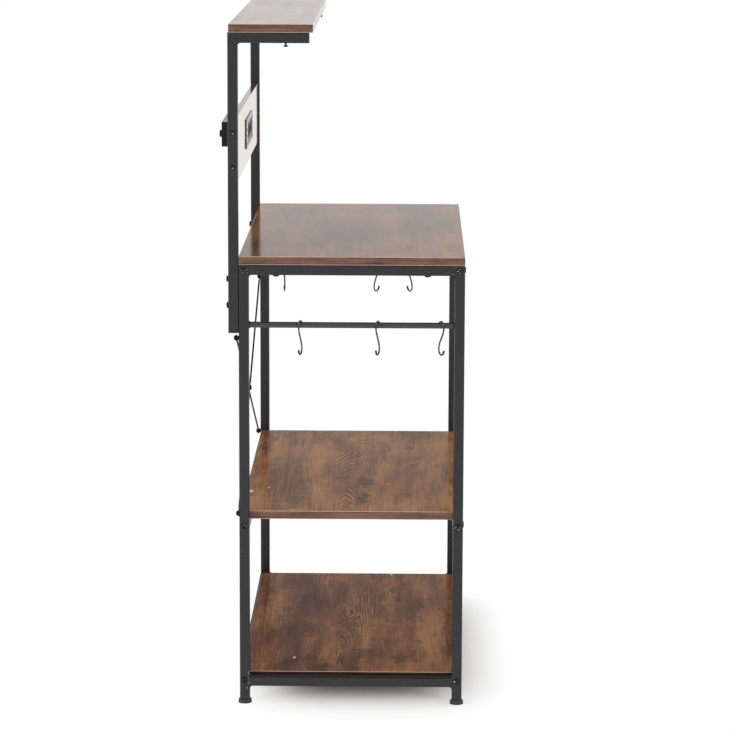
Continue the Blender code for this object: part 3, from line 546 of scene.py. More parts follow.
# each board starts at its own place in the print, shift. Gloss multiplies its roughness, lift
# moves its ground between the browns, and shade multiplies its print's colour. The edge factor
# is painted light and shade on the edge band, darkest on the bottom shelf, where the groove at the
# side rails lies in shade. The figure is the middle line of the growth lines, how blunt their
# arches are, and their spacing across and along the board. Bold spots are where they are printed
# strongest
boards = {
    "worktop": {
        "shift": 3.1,
        "gloss": 0.58,
        "lift": 0.06,
        "shade": 0.95,
        "edgePaintedLight": 1.0,
        "figure": (-0.045, 0.014, 0.0064, 0.05),
        "rings": ((-0.2, 0.05, 0.12, 0.02, 3.0),),
        "bold": ((0.05, -0.05, 0.25, 0.03, 0.75), (-0.22, 0.05, 0.1, 0.02, 0.6)),
        "knots": ((0.26, 0.07, 0.03, 0.012, 0.8), (-0.3, -0.12, 0.026, 0.01, 0.7)),
        "smokes": (
            (-0.125, -0.021, 0.09, 0.06, 0.6), (-0.002, -0.139, 0.16, 0.04, 0.7),
            (0.314, -0.12, 0.06, 0.03, 0.5),
        ),
        "honeys": ((0.118, -0.074, 0.13, 0.032, 0.45), (-0.245, 0.125, 0.16, 0.04, 0.25)),
    },
    "top_shelf": {
        "shift": 7.7,
        "gloss": 0.56,
        "lift": 0.0,
        "shade": 0.95,
        "edgePaintedLight": 0.95,
        "figure": (0.122, 0.012, 0.006, 0.055),
        "rings": ((0.24, 0.13, 0.1, 0.016, 2.5),),
        "bold": ((0.0, 0.122, 0.2, 0.022, 0.7),),
        "knots": ((0.05, 0.13, 0.02, 0.008, 0.7),),
        "smokes": ((0.2, 0.1, 0.12, 0.03, 0.6), (-0.25, 0.14, 0.1, 0.03, 0.5)),
        "honeys": ((-0.05, 0.1, 0.14, 0.03, 0.7),),
    },
    "middle_shelf": {
        "shift": 11.9,
        "gloss": 1.0,
        "lift": 0.08,
        "shade": 1.06,
        "edgePaintedLight": 1.05,
        "figure": (-0.014, 0.016, 0.0062, 0.04),
        "rings": ((0.255, -0.012, 0.06, 0.014, 2.5),),
        "bold": (
            (-0.235, -0.016, 0.12, 0.034, 0.95), (0.06, -0.008, 0.15, 0.03, 0.92),
            (0.28, -0.02, 0.08, 0.04, 0.6), (-0.3, 0.13, 0.1, 0.014, 0.45),
        ),
        "knots": (
            (-0.126, -0.05, 0.045, 0.02, 0.85), (-0.1, -0.005, 0.04, 0.014, 0.6),
            (-0.274, -0.045, 0.045, 0.013, 0.85), (-0.35, -0.016, 0.018, 0.009, 0.7),
            (0.223, -0.129, 0.03, 0.008, 0.75), (0.104, -0.144, 0.03, 0.015, 0.55),
            (0.026, -0.14, 0.024, 0.01, 0.75), (-0.232, -0.123, 0.016, 0.018, 0.55),
        ),
        "smokes": (
            # the second spot on the next line, along the far end of the back edge, is a painted
            # reflection of the dark uprights
            (-0.06, 0.101, 0.26, 0.034, 0.95), (0.23, 0.152, 0.15, 0.012, 0.75),
            (-0.29, 0.088, 0.06, 0.03, 0.75), (0.28, 0.096, 0.06, 0.018, 0.6),
            (-0.039, -0.197, 0.11, 0.02, 0.7), (0.06, -0.125, 0.18, 0.02, 0.45),
            (0.33, -0.15, 0.06, 0.04, 0.5),
        ),
        "honeys": (
            (-0.21, 0.041, 0.13, 0.022, 0.9), (0.167, 0.04, 0.16, 0.022, 0.6),
            (0.3, -0.06, 0.08, 0.05, 0.55), (-0.3, 0.01, 0.07, 0.03, 0.6),
        ),
        "flecks": ((-0.214, 0.163, 0.015, 0.0055, 1.0), (-0.181, 0.132, 0.01, 0.0026, 1.0)),
    },
    "bottom_shelf": {
        "shift": 17.3,
        "gloss": 1.0,
        "lift": -0.07,
        "shade": 0.92,
        "edgePaintedLight": 0.3,
        "figure": (-0.012, 0.012, 0.0056, 0.08),
        "rings": ((0.045, -0.01, 0.085, 0.015, 3.9),),
        "bold": (
            (0.045, -0.01, 0.1, 0.02, 0.95), (-0.32, 0.004, 0.1, 0.024, 0.9),
            (0.08, -0.048, 0.23, 0.018, 0.95), (-0.13, -0.012, 0.08, 0.02, 0.85),
            (-0.25, 0.15, 0.14, 0.016, 0.7), (0.2, -0.1, 0.12, 0.01, 0.5),
        ),
        "knots": (
            (0.229, -0.095, 0.024, 0.005, 0.9), (-0.062, -0.016, 0.026, 0.012, 0.65),
            (-0.256, -0.048, 0.04, 0.026, 0.7), (0.229, -0.058, 0.03, 0.012, 0.6),
            (-0.278, -0.112, 0.05, 0.015, 0.75), (-0.184, -0.142, 0.014, 0.006, 0.65),
            (-0.256, -0.159, 0.012, 0.008, 0.65), (-0.332, -0.175, 0.014, 0.009, 0.65),
        ),
        "smokes": (
            # the second spot on the next line, along the far end of the back edge, is a painted
            # reflection of the dark uprights
            (-0.003, 0.083, 0.34, 0.022, 0.8), (0.22, 0.152, 0.18, 0.012, 0.8),
            (0.274, -0.005, 0.055, 0.045, 0.75), (0.36, -0.036, 0.06, 0.014, 0.8),
            (0.081, -0.131, 0.12, 0.026, 0.75), (0.3, 0.1, 0.06, 0.05, 0.6),
        ),
        "honeys": (
            (-0.106, -0.047, 0.24, 0.014, 0.9), (-0.12, -0.169, 0.22, 0.026, 0.85),
            (-0.253, 0.013, 0.11, 0.016, 0.75), (0.33, 0.025, 0.05, 0.04, 0.6),
            (0.2, -0.09, 0.14, 0.014, 0.6), (0.1, 0.135, 0.16, 0.016, 0.55),
            (0.046, -0.012, 0.05, 0.008, 0.7),
        ),
        "flecks": ((-0.283, 0.081, 0.01, 0.0036, 1.0), (0.372, -0.093, 0.016, 0.0026, 1.0)),
    },
    "outlet_panel": {
        "standing": True,
        "shift": 23.9,
        "gloss": 0.4,
        "overlay": 0.22,
        "lift": 0.02,
        "shade": 0.9,
        "edgePaintedLight": 1.0,
        "figure": (1.0, 0.012, 0.006, 0.055),
        "rings": ((0.24, 1.0, 0.1, 0.016, 2.5),),
        "bold": ((0.0, 1.0, 0.2, 0.02, 0.7),),
        "knots": ((-0.25, 0.985, 0.025, 0.008, 0.7),),
        "smokes": ((0.2, 0.99, 0.1, 0.03, 0.6),),
        "honeys": ((-0.05, 1.01, 0.12, 0.02, 0.7),),
    },
}


def makeLaminate(name, board, look):
    finish, tree, shader, place = newFinish(name + "_laminate")
    standing = board.get("standing", False)
    x, y, z = splitAxes(tree, place)
    across = z if standing else y
    flat = joinAxes(tree, x, across)
    shift = board["shift"]
    printed = vectorCalc(tree, "ADD", flat, (shift, shift * 0.37, shift * 0.11))

    def pattern(kind, where=printed):
        along, over, detail, roughness = look["patterns"][kind]
        return grainNoise(tree, where, (along, over, 1.0), detail, roughness)

    def faded(value, kind):
        return fade(tree, value, *look["fades"][kind])

    # patches have ragged outlines: they are looked up a little off their place
    ragged = addNode(tree, "TexNoise", {"Vector": printed, **look["ragged"]}).outputs["Color"]
    ragged = vectorCalc(tree, "SUBTRACT", ragged, (0.5, 0.5, 0.5))
    ragged = vectorCalc(tree, "MULTIPLY", ragged, look["raggedness"])
    loose = vectorCalc(tree, "ADD", flat, ragged)

    # the fine grain sways a little from side to side
    wander = pattern("wander")
    sway = times(tree, calc(tree, "SUBTRACT", wander, 0.5), look["sway"])
    bent = vectorCalc(tree, "ADD", printed, joinAxes(tree, 0.0, sway))
    broad, blotch, fibre = pattern("broad"), pattern("blotch"), pattern("fibre")
    streak = pattern("streak", bent)

    mix = look["toneMix"]
    tone = times(tree, broad, mix["broad"])
    tone = calc(tree, "MULTIPLY_ADD", streak, mix["streak"], tone)
    tone = calc(tree, "MULTIPLY_ADD", fibre, mix["fibre"], tone)
    tone = calc(tree, "MULTIPLY_ADD", blotch, mix["blotch"], tone)
    tone = calc(tree, "ADD", tone, board["lift"] - look["toneMiddle"])
    browns = [look[key] for key in ("umber", "russet", "tan")]
    colour = colourRamp(tree, tone, zip(look["toneStops"], browns))

    honey = spotsMask(tree, loose, board["honeys"])
    honey = times(tree, honey, faded(streak, "honeyStreak"))
    colour = mixColour(tree, honey, colour, look["honey"])
    stray = faded(pattern("stray"), "smokeStray")
    smoke = most(tree, spotsMask(tree, loose, board["smokes"]), stray)
    smoke = times(tree, smoke, faded(blotch, "smokeBlotch"))
    smoke = times(tree, smoke, faded(streak, "smokeStreak"))
    colour = mixColour(tree, smoke, colour, look["smoke"])

    # growth lines are contour lines of a height that rises to both sides of the board's
    # middle line and domes up at each ring. They lean into arches near the middle line
    middle, blunt, spacing, noseSpacing = board["figure"]
    drift = calc(tree, "SUBTRACT", across, middle + look["sway"] / 2)
    drift = calc(tree, "MULTIPLY_ADD", wander, look["sway"], drift)
    offMiddle = calc(tree, "SQRT", calc(tree, "MULTIPLY_ADD", drift, drift, blunt ** 2))
    limits = (*look["fades"]["lean"], 0.0, 1.0 / noseSpacing)
    lean = times(tree, x, fade(tree, offMiddle, *limits))
    rise = calc(tree, "MULTIPLY_ADD", offMiddle, 1.0 / spacing, lean)
    rise = calc(tree, "MULTIPLY_ADD", pattern("ripple"), look["ripple"], rise)
    for ring in board["rings"]:
        rise = calc(tree, "ADD", rise, spotMask(tree, flat, ring, 1.7))
    ridge = offFrom(tree, calc(tree, "FRACT", rise), 0.5)
    clear = faded(pattern("clear"), "clear")
    clear = most(tree, clear, spotsMask(tree, loose, board["bold"]))
    lines = times(tree, faded(ridge, "ridge"), clear)
    pores = times(tree, faded(pattern("pore", bent), "pore"), faded(broad, "poreGround"))
    knots = spotsMask(tree, loose, board["knots"], 1.35)
    knots = times(tree, knots, faded(blotch, "knotBlotch"))
    dark = most(tree, most(tree, lines, pores), knots)
    colour = mixColour(tree, dark, colour, look["ink"])
    dust = faded(pattern("dust"), "dust")
    flecks = most(tree, dust, spotsMask(tree, flat, board.get("flecks", ()), 1.1))
    colour = mixColour(tree, flecks, colour, look["fleck"])
    colour = mixColour(tree, 1.0, colour, board["shade"], "MULTIPLY")

    # edge band: streaks that run round the board, and a painted highlight along the arris where it
    # is trimmed
    facing = splitAxes(tree, addNode(tree, "NewGeometry").outputs["True Normal"])
    upward = calc(tree, "ABSOLUTE", facing[1 if standing else 2])
    stretch = look["standingEdgeGrain" if standing else "edgeGrain"]
    band = grainNoise(tree, place, stretch, 4.0, 0.68)
    cloud = grainNoise(tree, place, look["edgeCloud"], 3.0, 0.6)
    mix = look["edgeMix"]
    bandTone = times(tree, band, mix["grain"])
    bandTone = calc(tree, "MULTIPLY_ADD", cloud, mix["cloud"], bandTone)
    bandColour = colourRamp(tree, bandTone, zip(look["edgeStops"], look["edge"]))
    # painted light and shade on the edge band, darkest on the bottom shelf, in the groove at the
    # side rails
    bandColour = mixColour(tree, 1.0, bandColour, board["edgePaintedLight"], "MULTIPLY")
    colour = mixColour(tree, faded(upward, "edge"), colour, bandColour)
    # painted highlight along the arris, on faces sloping between the edge and the top
    arrisHighlight = times(tree, faded(upward, "arrisFoot"), faded(upward, "arrisHighlightTop"))
    pressed = calc(tree, "MULTIPLY_ADD", dark, -0.8, times(tree, streak, 0.5))
    limits = [value * board["gloss"] for value in look["roughness"]]
    feed(tree, shader, {
        "Base Color": mixColour(tree, arrisHighlight, colour, look["arrisHighlight"]),
        "Roughness": cloudy(tree, blotch, limits),
        "Coat Weight": board.get("overlay", 0.0),
        "Coat Roughness": look["overlayRoughness"],
        "Normal": bumped(tree, pressed, *look["grainBump"]),
    })
    return finish


zincFinish = makeMetal("blackZinc", metalWear)
hookFinish = makeHookEnamel(hookEnamel)
blacks = {kind: makePlastic(kind, plasticWear) for kind in plastics}
bySlot = {
    "black_powder_coated_steel": makePowderCoat(powderCoat),
    "black_zinc_bolts": zincFinish,
    "painted_wire": hookFinish,
    "black_plastic": blacks["outletPlastic"],
    "foot_plastic": blacks["footPlastic"],
}
byNode = {name: makeLaminate(name, board, laminate) for name, board in boards.items()}
byNode["rising_brace_rod"] = byNode["falling_brace_rod"] = blacks["rodPaint"]
byNode["power_housing"] = byNode["cord_gland"] = blacks["housingPlastic"]
for name, item in nodes.items():
    for slot in item.material_slots:
        given = slot.material.name.split(".")[0]
        slot.material = byNode[name] if name in byNode else bySlot[given]
print("finishes on", len(nodes), "nodes")


# rings of corners joined one after another. A ring of a single corner makes a point
def joinRings(shape, rings):
    faces = []
    for lower, upper in zip(rings, rings[1:]):
        count = max(len(lower), len(upper))
        for step in range(count):
            following = (step + 1) % count
            around = ((lower, step), (lower, following), (upper, following), (upper, step))
            corners = dict.fromkeys(ring[index % len(ring)] for ring, index in around)
            faces.append(shape.faces.new(list(corners)))
    return faces


# shapes turned on a lathe, from rows of radius and height. A row that ends in "hexagon" is
# six-sided
def addTurned(shape, profile, sides=36, place=Matrix.Identity(4), bored=False):
    rings = []
    for radius, height, *outline in profile:
        if radius == 0:
            rings.append([shape.verts.new(place @ Vector((0.0, 0.0, height)))])
            continue
        ring = []
        for step in range(sides):
            angle = 2 * pi * step / sides
            reach = radius / cos(angle % (pi / 3) - pi / 6) if outline else radius
            corner = Vector((reach * cos(angle), reach * sin(angle), height))
            ring.append(shape.verts.new(place @ corner))
        rings.append(ring)
    if bored:
        rings.append(rings[0])  # the outline runs round, so the piece has a hole along its axis
    joinRings(shape, rings)


def meshFrom(shape, name, *finishes, sharpAngle=32):
    bmesh.ops.recalc_face_normals(shape, faces=shape.faces)
    mesh = bpy.data.meshes.new(name)
    shape.to_mesh(mesh)
    shape.free()
    mesh.shade_smooth()
    mesh.set_sharp_from_angle(angle=radians(sharpAngle))
    for finish in finishes:
        mesh.materials.append(finish)
    return mesh


def turnedMesh(name, profile, finish, sides=36):
    shape = bmesh.new()
    addTurned(shape, profile, sides)
    return meshFrom(shape, name, finish)


def boxOf(node):
    low, high = (Vector(corner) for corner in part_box(node))
    return low, high, (low + high) / 2


def placePiece(name, mesh, place, turn=Matrix.Identity(3), body="unit", replaced=None):
    piece = addObject(name, mesh)
    piece.matrix_world = Matrix.Translation(place) @ turn.to_4x4()
    bpy.context.view_layer.update()
    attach(piece, body)
    if replaced:
        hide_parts(replaced)


def turned(angle, axis):
    return Matrix.Rotation(radians(angle), 3, axis)


headsUp = {
    "left": turned(-90, "Y"),
    "right": turned(90, "Y"),
    "back": turned(-90, "X"),
    "front": turned(90, "X"),
    "down": turned(180, "X"),
}

# button-head bolts with hexagon sockets, in place of the plainer ones
bolts = {
    # shank, head, height
    "frame": (0.006, 0.0116, 0.0032),
    "panel": (0.0042, 0.0086, 0.0026),
    "brace": (0.005, 0.0092, 0.003),
    "centre": (0.0042, 0.0092, 0.002),
    "front": (0.006, 0.0116, 0.0016),
    # the head from its seat to its top, as shares of its diameter and height
    "outline": (
        (0.49, 0.0), (0.5, 0.06), (0.5, 0.22), (0.485, 0.42), (0.455, 0.62),
        (0.41, 0.81), (0.36, 0.93), (0.31, 1.0),
    ),
    # half the socket's width as a share of the head's, and the height of its floor
    "socket": 0.23,
    "socketFloor": 0.32,
    # painted highlights: bright glints on single heads, as spots in the head's own plane
    "paintedGlints": {
        "worktop_back_left_bolt": (
            (0.0, 0.0036, 0.0009, 0.0009, 0.45), (0.0, -0.0044, 0.0009, 0.0009, 0.45),
            (-0.0034, 0.0, 0.0008, 0.0016, 0.4),
        ),
        "worktop_front_left_bolt": (
            (0.0, 0.004, 0.0011, 0.001, 0.8), (0.0034, 0.001, 0.0008, 0.0014, 0.5),
            (-0.0034, 0.0, 0.0008, 0.0016, 0.45),
        ),
        "middle_front_left_bolt": (
            (0.0, 0.004, 0.0012, 0.001, 0.55), (-0.0034, -0.0008, 0.0008, 0.0018, 0.6),
            (0.0, -0.0042, 0.001, 0.0009, 0.45),
        ),
        "middle_back_left_bolt": (
            (0.0034, 0.0, 0.0008, 0.0015, 0.5), (0.0, -0.004, 0.0009, 0.0009, 0.45),
        ),
        "bottom_front_left_bolt": ((0.0, 0.004, 0.0014, 0.0013, 1.0),),
        "panel_left_upper_bolt": ((-0.0014, 0.0, 0.001, 0.0017, 0.9),),
        "panel_left_lower_bolt": ((-0.0014, 0.0, 0.001, 0.0017, 0.9),),
    },
}


def fastenerProfile(stem, reach, tipRound, head, height, outline):
    return [
        (0, -reach),
        (stem * 0.42, -reach),
        (stem * 0.5, -reach + tipRound),
        (stem * 0.5, 0),
        *((head * across, height * up) for across, up in outline),
    ]


def boltMesh(name, sizes, kind, reach, finish):
    shank, head, height = sizes[kind]
    socket = head * sizes["socket"]
    profile = fastenerProfile(shank, reach, shank * 0.08, head, height, sizes["outline"])
    profile += [
        (socket * 1.08, height, "hexagon"),
        (socket, height * 0.95, "hexagon"),
        (socket, height * sizes["socketFloor"], "hexagon"),
        (0, height * 0.2),
    ]
    return turnedMesh(name, profile, finish)


def replaceBolt(node, kind, side):
    low, high, seat = boxOf(node)
    axis = 0 if side in ("left", "right") else 1
    outward = -1 if side in ("left", "front") else 1
    height = bolts[kind][2]
    seat[axis] = (high[axis] if outward > 0 else low[axis]) - outward * height
    reach = high[axis] - low[axis] - height
    # heads with painted highlights get a finish of their own
    finish, paintedGlints = zincFinish, bolts["paintedGlints"].get(node)
    if paintedGlints:
        zinc = "panelZinc" if kind == "panel" else "blackZinc"
        finish = makeMetal(zinc, metalWear, node + "_zinc", paintedGlints)
    mesh = boltMesh(node + "_turned", bolts, kind, reach, finish)
    placePiece(node + "_turned", mesh, seat, headsUp[side], replaced=node)


for side in ("left", "right"):
    for level in ("worktop", "middle", "bottom"):
        for row in ("back", "front"):
            replaceBolt(f"{level}_{row}_{side}_bolt", "frame", side)
    for level in ("upper", "lower"):
        replaceBolt(f"panel_{side}_{level}_bolt", "panel", side)
        replaceBolt(f"hutch_{side}_{level}_bolt", "frame", "back")
for rod in ("rising", "falling"):
    for level in ("upper", "lower"):
        replaceBolt(f"{rod}_rod_{level}_bolt", "brace", "back")
replaceBolt("brace_centre_bolt", "centre", "front")

# brace rods: round bar, drawn thinner where it meets the flat eyes at its ends and at the crossing
braceRods = {
    "radius": 0.0017,
    "neck": 0.00118,
    "neckLength": 0.012,
    "taperLength": 0.024,
    "eyeThickness": 0.0025,
    "eyeRadius": 0.00575,
    "eyeRound": 0.0005,
    "endBore": 0.0028,
    "centreBore": 0.0024,
    # the rising rod lies further out, on collars that stand on the uprights' back face
    "collarRadius": 0.004,
    "collarRound": 0.0002,
    "backFace": 0.1754,
}


def ringProfile(outer, bore, low, high, rounding):
    lower = [(0.0, bore), (0.0, outer - rounding), (0.3, outer - rounding * 0.3), (1.0, outer)]
    profile = [(radius, low + rounding * share) for share, radius in lower]
    return profile + [(radius, high - rounding * share) for share, radius in lower[::-1]]


# built about the rod's middle. The eyes' bores run along Y
def rodMesh(name, sizes, first, last, collars, finish):
    shape = bmesh.new()
    half = (last - first) / 2
    along = half.normalized().to_track_quat("Z", "Y").to_matrix().to_4x4()
    reach, eye = half.length, sizes["eyeRadius"] * 0.8  # the bar ends inside the eyes
    neck, taper = sizes["neckLength"], sizes["taperLength"]
    thin, thick = sizes["neck"], sizes["radius"]
    bar = [
        (0, eye), (thin, eye), (thin, neck), (thick, taper),
        (thick, reach - taper), (thin, reach - neck), (thin, reach - eye), (0, reach - eye),
    ]
    for sign in (-1, 1):
        addTurned(shape, [(radius, sign * place) for radius, place in bar], 16, along)
    facing = turned(-90, "X").to_4x4()
    edge, endBore = sizes["eyeThickness"] / 2, sizes["endBore"]
    for middle, bore in ((-half, endBore), (Vector(), sizes["centreBore"]), (half, endBore)):
        ring = ringProfile(sizes["eyeRadius"], bore, -edge, edge, sizes["eyeRound"])
        addTurned(shape, ring, 32, Matrix.Translation(middle) @ facing, bored=True)
    if collars:
        size = (sizes["collarRadius"], endBore, sizes["backFace"] - first.y, -edge)
        ring = ringProfile(*size, sizes["collarRound"])
        for middle in (-half, half):
            addTurned(shape, ring, 32, Matrix.Translation(middle) @ facing, bored=True)
    return meshFrom(shape, name, finish)


for rod in ("rising", "falling"):
    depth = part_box(f"{rod}_brace_rod")[1][1] - braceRods["eyeThickness"] / 2
    ends = []
    for level in ("lower", "upper"):
        bolt = boxOf(f"{rod}_rod_{level}_bolt")[2]
        ends.append(Vector((bolt.x, depth, bolt.z)))
    name = f"{rod}_round_rod"
    mesh = rodMesh(name, braceRods, *ends, rod == "rising", blacks["rodPaint"])
    slot = "black_powder_coated_steel"
    placePiece(name, mesh, (ends[0] + ends[1]) / 2, replaced=f"{rod}_brace_rod")
print("brace rods set")

# bolts in the front faces of the front uprights
frontBolts = {
    "face": -0.2249,
    "places": ((-0.391, 0.791), (-0.391, 0.331), (0.391, 0.791), (0.391, 0.331)),
    "reach": 0.0011,
}
for number, (x, z) in enumerate(frontBolts["places"], 1):
    mesh = boltMesh("front_bolt", bolts, "front", frontBolts["reach"], zincFinish)
    seat = Vector((x, frontBolts["face"], z))
    placePiece(f"front_bolt_{number}", mesh, seat, headsUp["front"])
print("bolts set")

# screws that hold the boards from below, through the side rails
boardScrews = {
    # head, its height, stem, how far it stands off the rail, the rail's underside and top
    "worktop": (0.0125, 0.0034, 0.004, 0.0, 0.7807, 0.7987),
    "top": (0.0098, 0.0024, 0.0038, 0.0046, 1.1887, 1.2067),
    "places": (("worktop", 0.1091), ("worktop", -0.1589), ("top", 0.0915)),
    "sides": (("left", -0.391), ("right", 0.391)),
    "tipGap": 0.0003,
    "tipRound": 0.0006,
    # the head from its seat to the floor of its slot, as shares of its diameter and height
    "outline": (
        (0.49, 0.0), (0.5, 0.12), (0.49, 0.34), (0.43, 0.66), (0.32, 0.9),
        (0.2, 1.0), (0.15, 1.0), (0.14, 0.45), (0.0, 0.35),
    ),
}


def screwMesh(name, sizes, kind, finish):
    head, height, stem, drop, underside, top = sizes[kind]
    reach = top - underside + drop - sizes["tipGap"]
    profile = fastenerProfile(stem, reach, sizes["tipRound"], head, height, sizes["outline"])
    return turnedMesh(name, profile, finish)


for side, x in boardScrews["sides"]:
    for number, (kind, y) in enumerate(boardScrews["places"], 1):
        drop, underside = boardScrews[kind][3:5]
        name = f"{kind}_board_screw_{side}_{number}"
        mesh = screwMesh(name, boardScrews, kind, zincFinish)
        seat = Vector((x, y, underside - drop))
        placePiece(name, mesh, seat, headsUp["down"])
print("board screws set")

# small parts of the outlet: screws and side contacts in the cups, and a shell and a tongue in
# each flat port
outlet = {
    "height": 0.998,
    "front": 0.1774,
    "cups": (0.0865, 0.0437, 0.0009),
    "cupFloor": 0.1919,
    "cupRadius": 0.01925,
    # the cups' screws: head, then shares of its radius and heights from the cup's floor
    "screw": 0.0056,
    "screwOutline": (
        (0, -0.0008), (0.5, -0.0008), (0.5, 0.0), (1.0, 0.0), (1.0, 0.0005), (0.9, 0.001),
        (0.6, 0.0013), (0.42, 0.0013, "hexagon"), (0.38, 0.0006, "hexagon"), (0, 0.0004),
    ),
    "contactWidth": 0.0042,
    # contact strip: place behind the cup's mouth, and how far it stands off the wall
    "contact": (
        (0.0016, 0.0004), (0.003, 0.0014), (0.007, 0.0019), (0.011, 0.0012), (0.0143, 0.0007),
    ),
    "contactThickness": 0.0003,
    "portMiddle": -0.044,
    "portOffset": 0.00625,
    # width and height, then where each begins and ends behind the plate's front
    "port": (0.01346, 0.00546),
    "shell": (0.0005, 0.01),
    "shellWall": 0.0003,
    "tongue": (0.0108, 0.0019),
    "tongueDepth": (0.0014, 0.0098),
    "tongueLift": 0.0006,
}


# outlines joined one after another, with both ends closed
def sweptMesh(name, outlines, finish):
    shape = bmesh.new()
    rings = [[shape.verts.new(corner) for corner in outline] for outline in outlines]
    joinRings(shape, rings)
    for ring in (rings[0], rings[-1]):
        shape.faces.new(ring)
    return meshFrom(shape, name, finish)


def frameOutline(width, height, y):
    corners = ((-1, -1), (1, -1), (1, 1), (-1, 1))
    return [(across * width / 2, y, up * height / 2) for across, up in corners]


def contactMesh(sizes, finish):
    half, thickness = sizes["contactWidth"] / 2, sizes["contactThickness"]
    outlines = []
    for y, off in sizes["contact"]:
        high = sizes["cupRadius"] - off
        low = high - thickness
        outlines.append([(-half, y, low), (half, y, low), (half, y, high), (-half, y, high)])
    return sweptMesh("side_contact", outlines, finish)


def shellMesh(sizes, finish):
    outside, wall = sizes["port"], sizes["shellWall"]
    inside = [size - 2 * wall for size in outside]
    first, last = sizes["shell"]
    rows = ((inside, last - wall), (inside, first), (outside, first), (outside, last))
    return sweptMesh("port_shell", [frameOutline(*size, y) for size, y in rows], finish)


def tongueMesh(sizes, finish):
    outlines = [frameOutline(*sizes["tongue"], y) for y in sizes["tongueDepth"]]
    return sweptMesh("port_tongue", outlines, finish)


def socketScrewMesh(sizes, finish):
    radius = sizes["screw"] / 2
    profile = [(radius * share, *rest) for share, *rest in sizes["screwOutline"]]
    return turnedMesh("socket_screw", profile, finish, 24)


brassFinish, tinFinish = (makeMetal(kind, metalWear) for kind in ("contactBrass", "portTin"))
for number, x in enumerate(outlet["cups"], 1):
    seat = Vector((x, outlet["cupFloor"], outlet["height"]))
    screw = socketScrewMesh(outlet, zincFinish)
    placePiece(f"socket_screw_{number}", screw, seat, headsUp["front"])
    mouth = Vector((x, outlet["front"], outlet["height"]))
    for where, angle in (("upper", 0), ("lower", 180)):
        contact = contactMesh(outlet, brassFinish)
        name = f"side_contact_{number}_{where}"
        placePiece(name, contact, mouth, turned(angle, "Y"))
for where, sign in (("upper", 1), ("lower", -1)):
    z = outlet["height"] + sign * outlet["portOffset"]
    mouth = Vector((outlet["portMiddle"], outlet["front"], z))
    placePiece(f"port_shell_{where}", shellMesh(outlet, tinFinish), mouth)
    tongue = tongueMesh(outlet, blacks["outletPlastic"])
    lifted = mouth + Vector((0, 0, outlet["tongueLift"]))
    placePiece(f"port_tongue_{where}", tongue, lifted)
print("outlet fitted")

# S-hooks bent from round wire, hanging on the round rails
hooks = {
    "wire": 0.003,
    "loop": 0.0095,
    "height": 0.063,
    "tipLift": -5.0,
    "dipLength": 0.0085,
    "dipSize": 1.22,
    "rail": 0.0106,
    "gap": 0.0003,
    "railHeight": 0.691,
    "railSide": {"left": -0.391, "right": 0.391},
    # place along the rail and twist of each
    "places": {
        "left": ((0.0663, 165.0), (-0.0709, 162.0), (-0.1837, 207.0)),
        "right": ((0.1261, 5.0), (-0.0599, -30.0), (-0.1269, 30.0)),
    },
    "steps": 26,
    "wireSides": 18,
}


def hookPath(sizes):
    radius, wire, steps = sizes["loop"], sizes["wire"], sizes["steps"]
    upper = sizes["rail"] / 2 + sizes["gap"] + wire / 2 - radius
    lower = upper - (sizes["height"] - wire - 2 * radius)
    bend = pi + radians(sizes["tipLift"])
    shares = [step / steps for step in range(steps + 1)]
    path = []
    for share in shares[:-1]:
        angle = bend * (1 - share)
        path.append((cos(angle), upper + radius * sin(angle)))
    for share in shares[:-1]:  # the middle sweeps from one side to the other
        path.append((cos(pi * share), upper + (lower - upper) * share))
    for share in shares:
        angle = pi + bend * share
        path.append((cos(angle), lower + radius * sin(angle)))
    return [Vector((radius * x, 0.0, z)) for x, z in path]


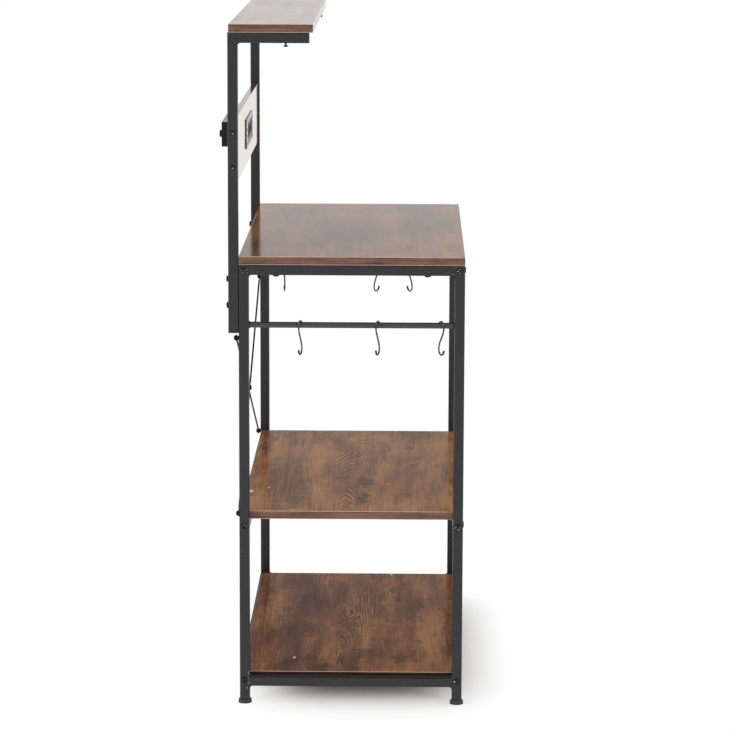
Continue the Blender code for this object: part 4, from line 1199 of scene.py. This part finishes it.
# round wire along points in the XZ plane, with rounded ends dipped in soft plastic
def wireMesh(name, sizes, finish, dipFinish):
    shape = bmesh.new()
    points, radius, sides = hookPath(sizes), sizes["wire"] / 2, sizes["wireSides"]
    first = (points[0] - points[1]).normalized()
    last = (points[-1] - points[-2]).normalized()
    nose = ((0.45, 0.45), (0.25, 0.8))  # shares of the radius beyond the end, and across
    path = [(points[0] + first * radius * beyond, radius * size) for beyond, size in nose]
    travel = [0.0]
    for before, after in zip(points, points[1:]):
        travel.append(travel[-1] + (after - before).length)
    for point, run in zip(points, travel):
        dipped = min(run, travel[-1] - run) < sizes["dipLength"]
        path.append((point, radius * (sizes["dipSize"] if dipped else 1.0)))
    path += [(points[-1] + last * radius * beyond, radius * size) for beyond, size in nose[::-1]]
    rings = []
    for index, (point, size) in enumerate(path):
        before, after = path[max(index - 1, 0)][0], path[min(index + 1, len(path) - 1)][0]
        along = (after - before).normalized()
        normal = Vector((along.z, 0.0, -along.x))
        ring = []
        for step in range(sides):
            angle = 2 * pi * step / sides
            outward = cos(angle) * normal + sin(angle) * Vector((0, 1, 0))
            ring.append(shape.verts.new(point + size * outward))
        rings.append(ring)
    for number, face in enumerate(joinRings(shape, rings)):
        size = max(size for _, size in path[number // sides:][:2])
        face.material_index = int(size != radius)  # whatever isn't bare wire is dipped
    for ring in (rings[0], rings[-1]):
        shape.faces.new(ring).material_index = 1
    return meshFrom(shape, name, finish, dipFinish, sharpAngle=60)


for side, x in hooks["railSide"].items():
    for number, (y, twist) in enumerate(hooks["places"][side], 1):
        node = f"{side}_hook_{number}"
        mesh = wireMesh(node + "_wire", hooks, hookFinish, blacks["dipPlastic"])
        hung = Vector((x, y, hooks["railHeight"]))
        placePiece(node + "_wire", mesh, hung, turned(twist, "Z"), node, node)
print("hooks hung")

# levelling feet: a round pad with a lip, on a screw's stem
feet = {
    "diameter": 0.0248,
    "height": 0.0073,
    "lip": 0.0022,
    "stem": 0.006,
    "stemLength": 0.0225,
    "stemRound": 0.0006,
    # the pad down to its lip, at the lip and below it, as shares of its radius and height
    "upper": ((0.86, 1.0), (0.9, 0.975), (0.935, 0.92), (0.95, 0.82)),
    "atLip": ((0.95, 0.13), (0.965, 0.06), (0.99, 0.0), (1.0, -0.05)),
    "lower": ((1.0, 0.14), (0.98, 0.06), (0.94, 0.0), (0.7, 0.0), (0.66, 0.05), (0.0, 0.05)),
    "sides": 64,
}


def footMesh(name, sizes, finish):
    radius, stem, height = sizes["diameter"] / 2, sizes["stem"] / 2, sizes["height"]
    top = height + sizes["stemLength"]
    profile = [(0, top), (stem * 0.8, top), (stem, top - sizes["stemRound"]), (stem, height)]
    for part, start in (("upper", 0.0), ("atLip", sizes["lip"]), ("lower", 0.0)):
        profile += [(radius * across, start + height * up) for across, up in sizes[part]]
    return turnedMesh(name, profile, finish, sizes["sides"])


for row in ("back", "front"):
    for side in ("left", "right"):
        node = f"{row}_{side}_foot"
        low, _, seat = boxOf(node)
        seat.z = low.z
        mesh = footMesh(node + "_pad", feet, blacks["footPlastic"])
        placePiece(node + "_pad", mesh, seat, body=node, replaced=node)
print("feet set")
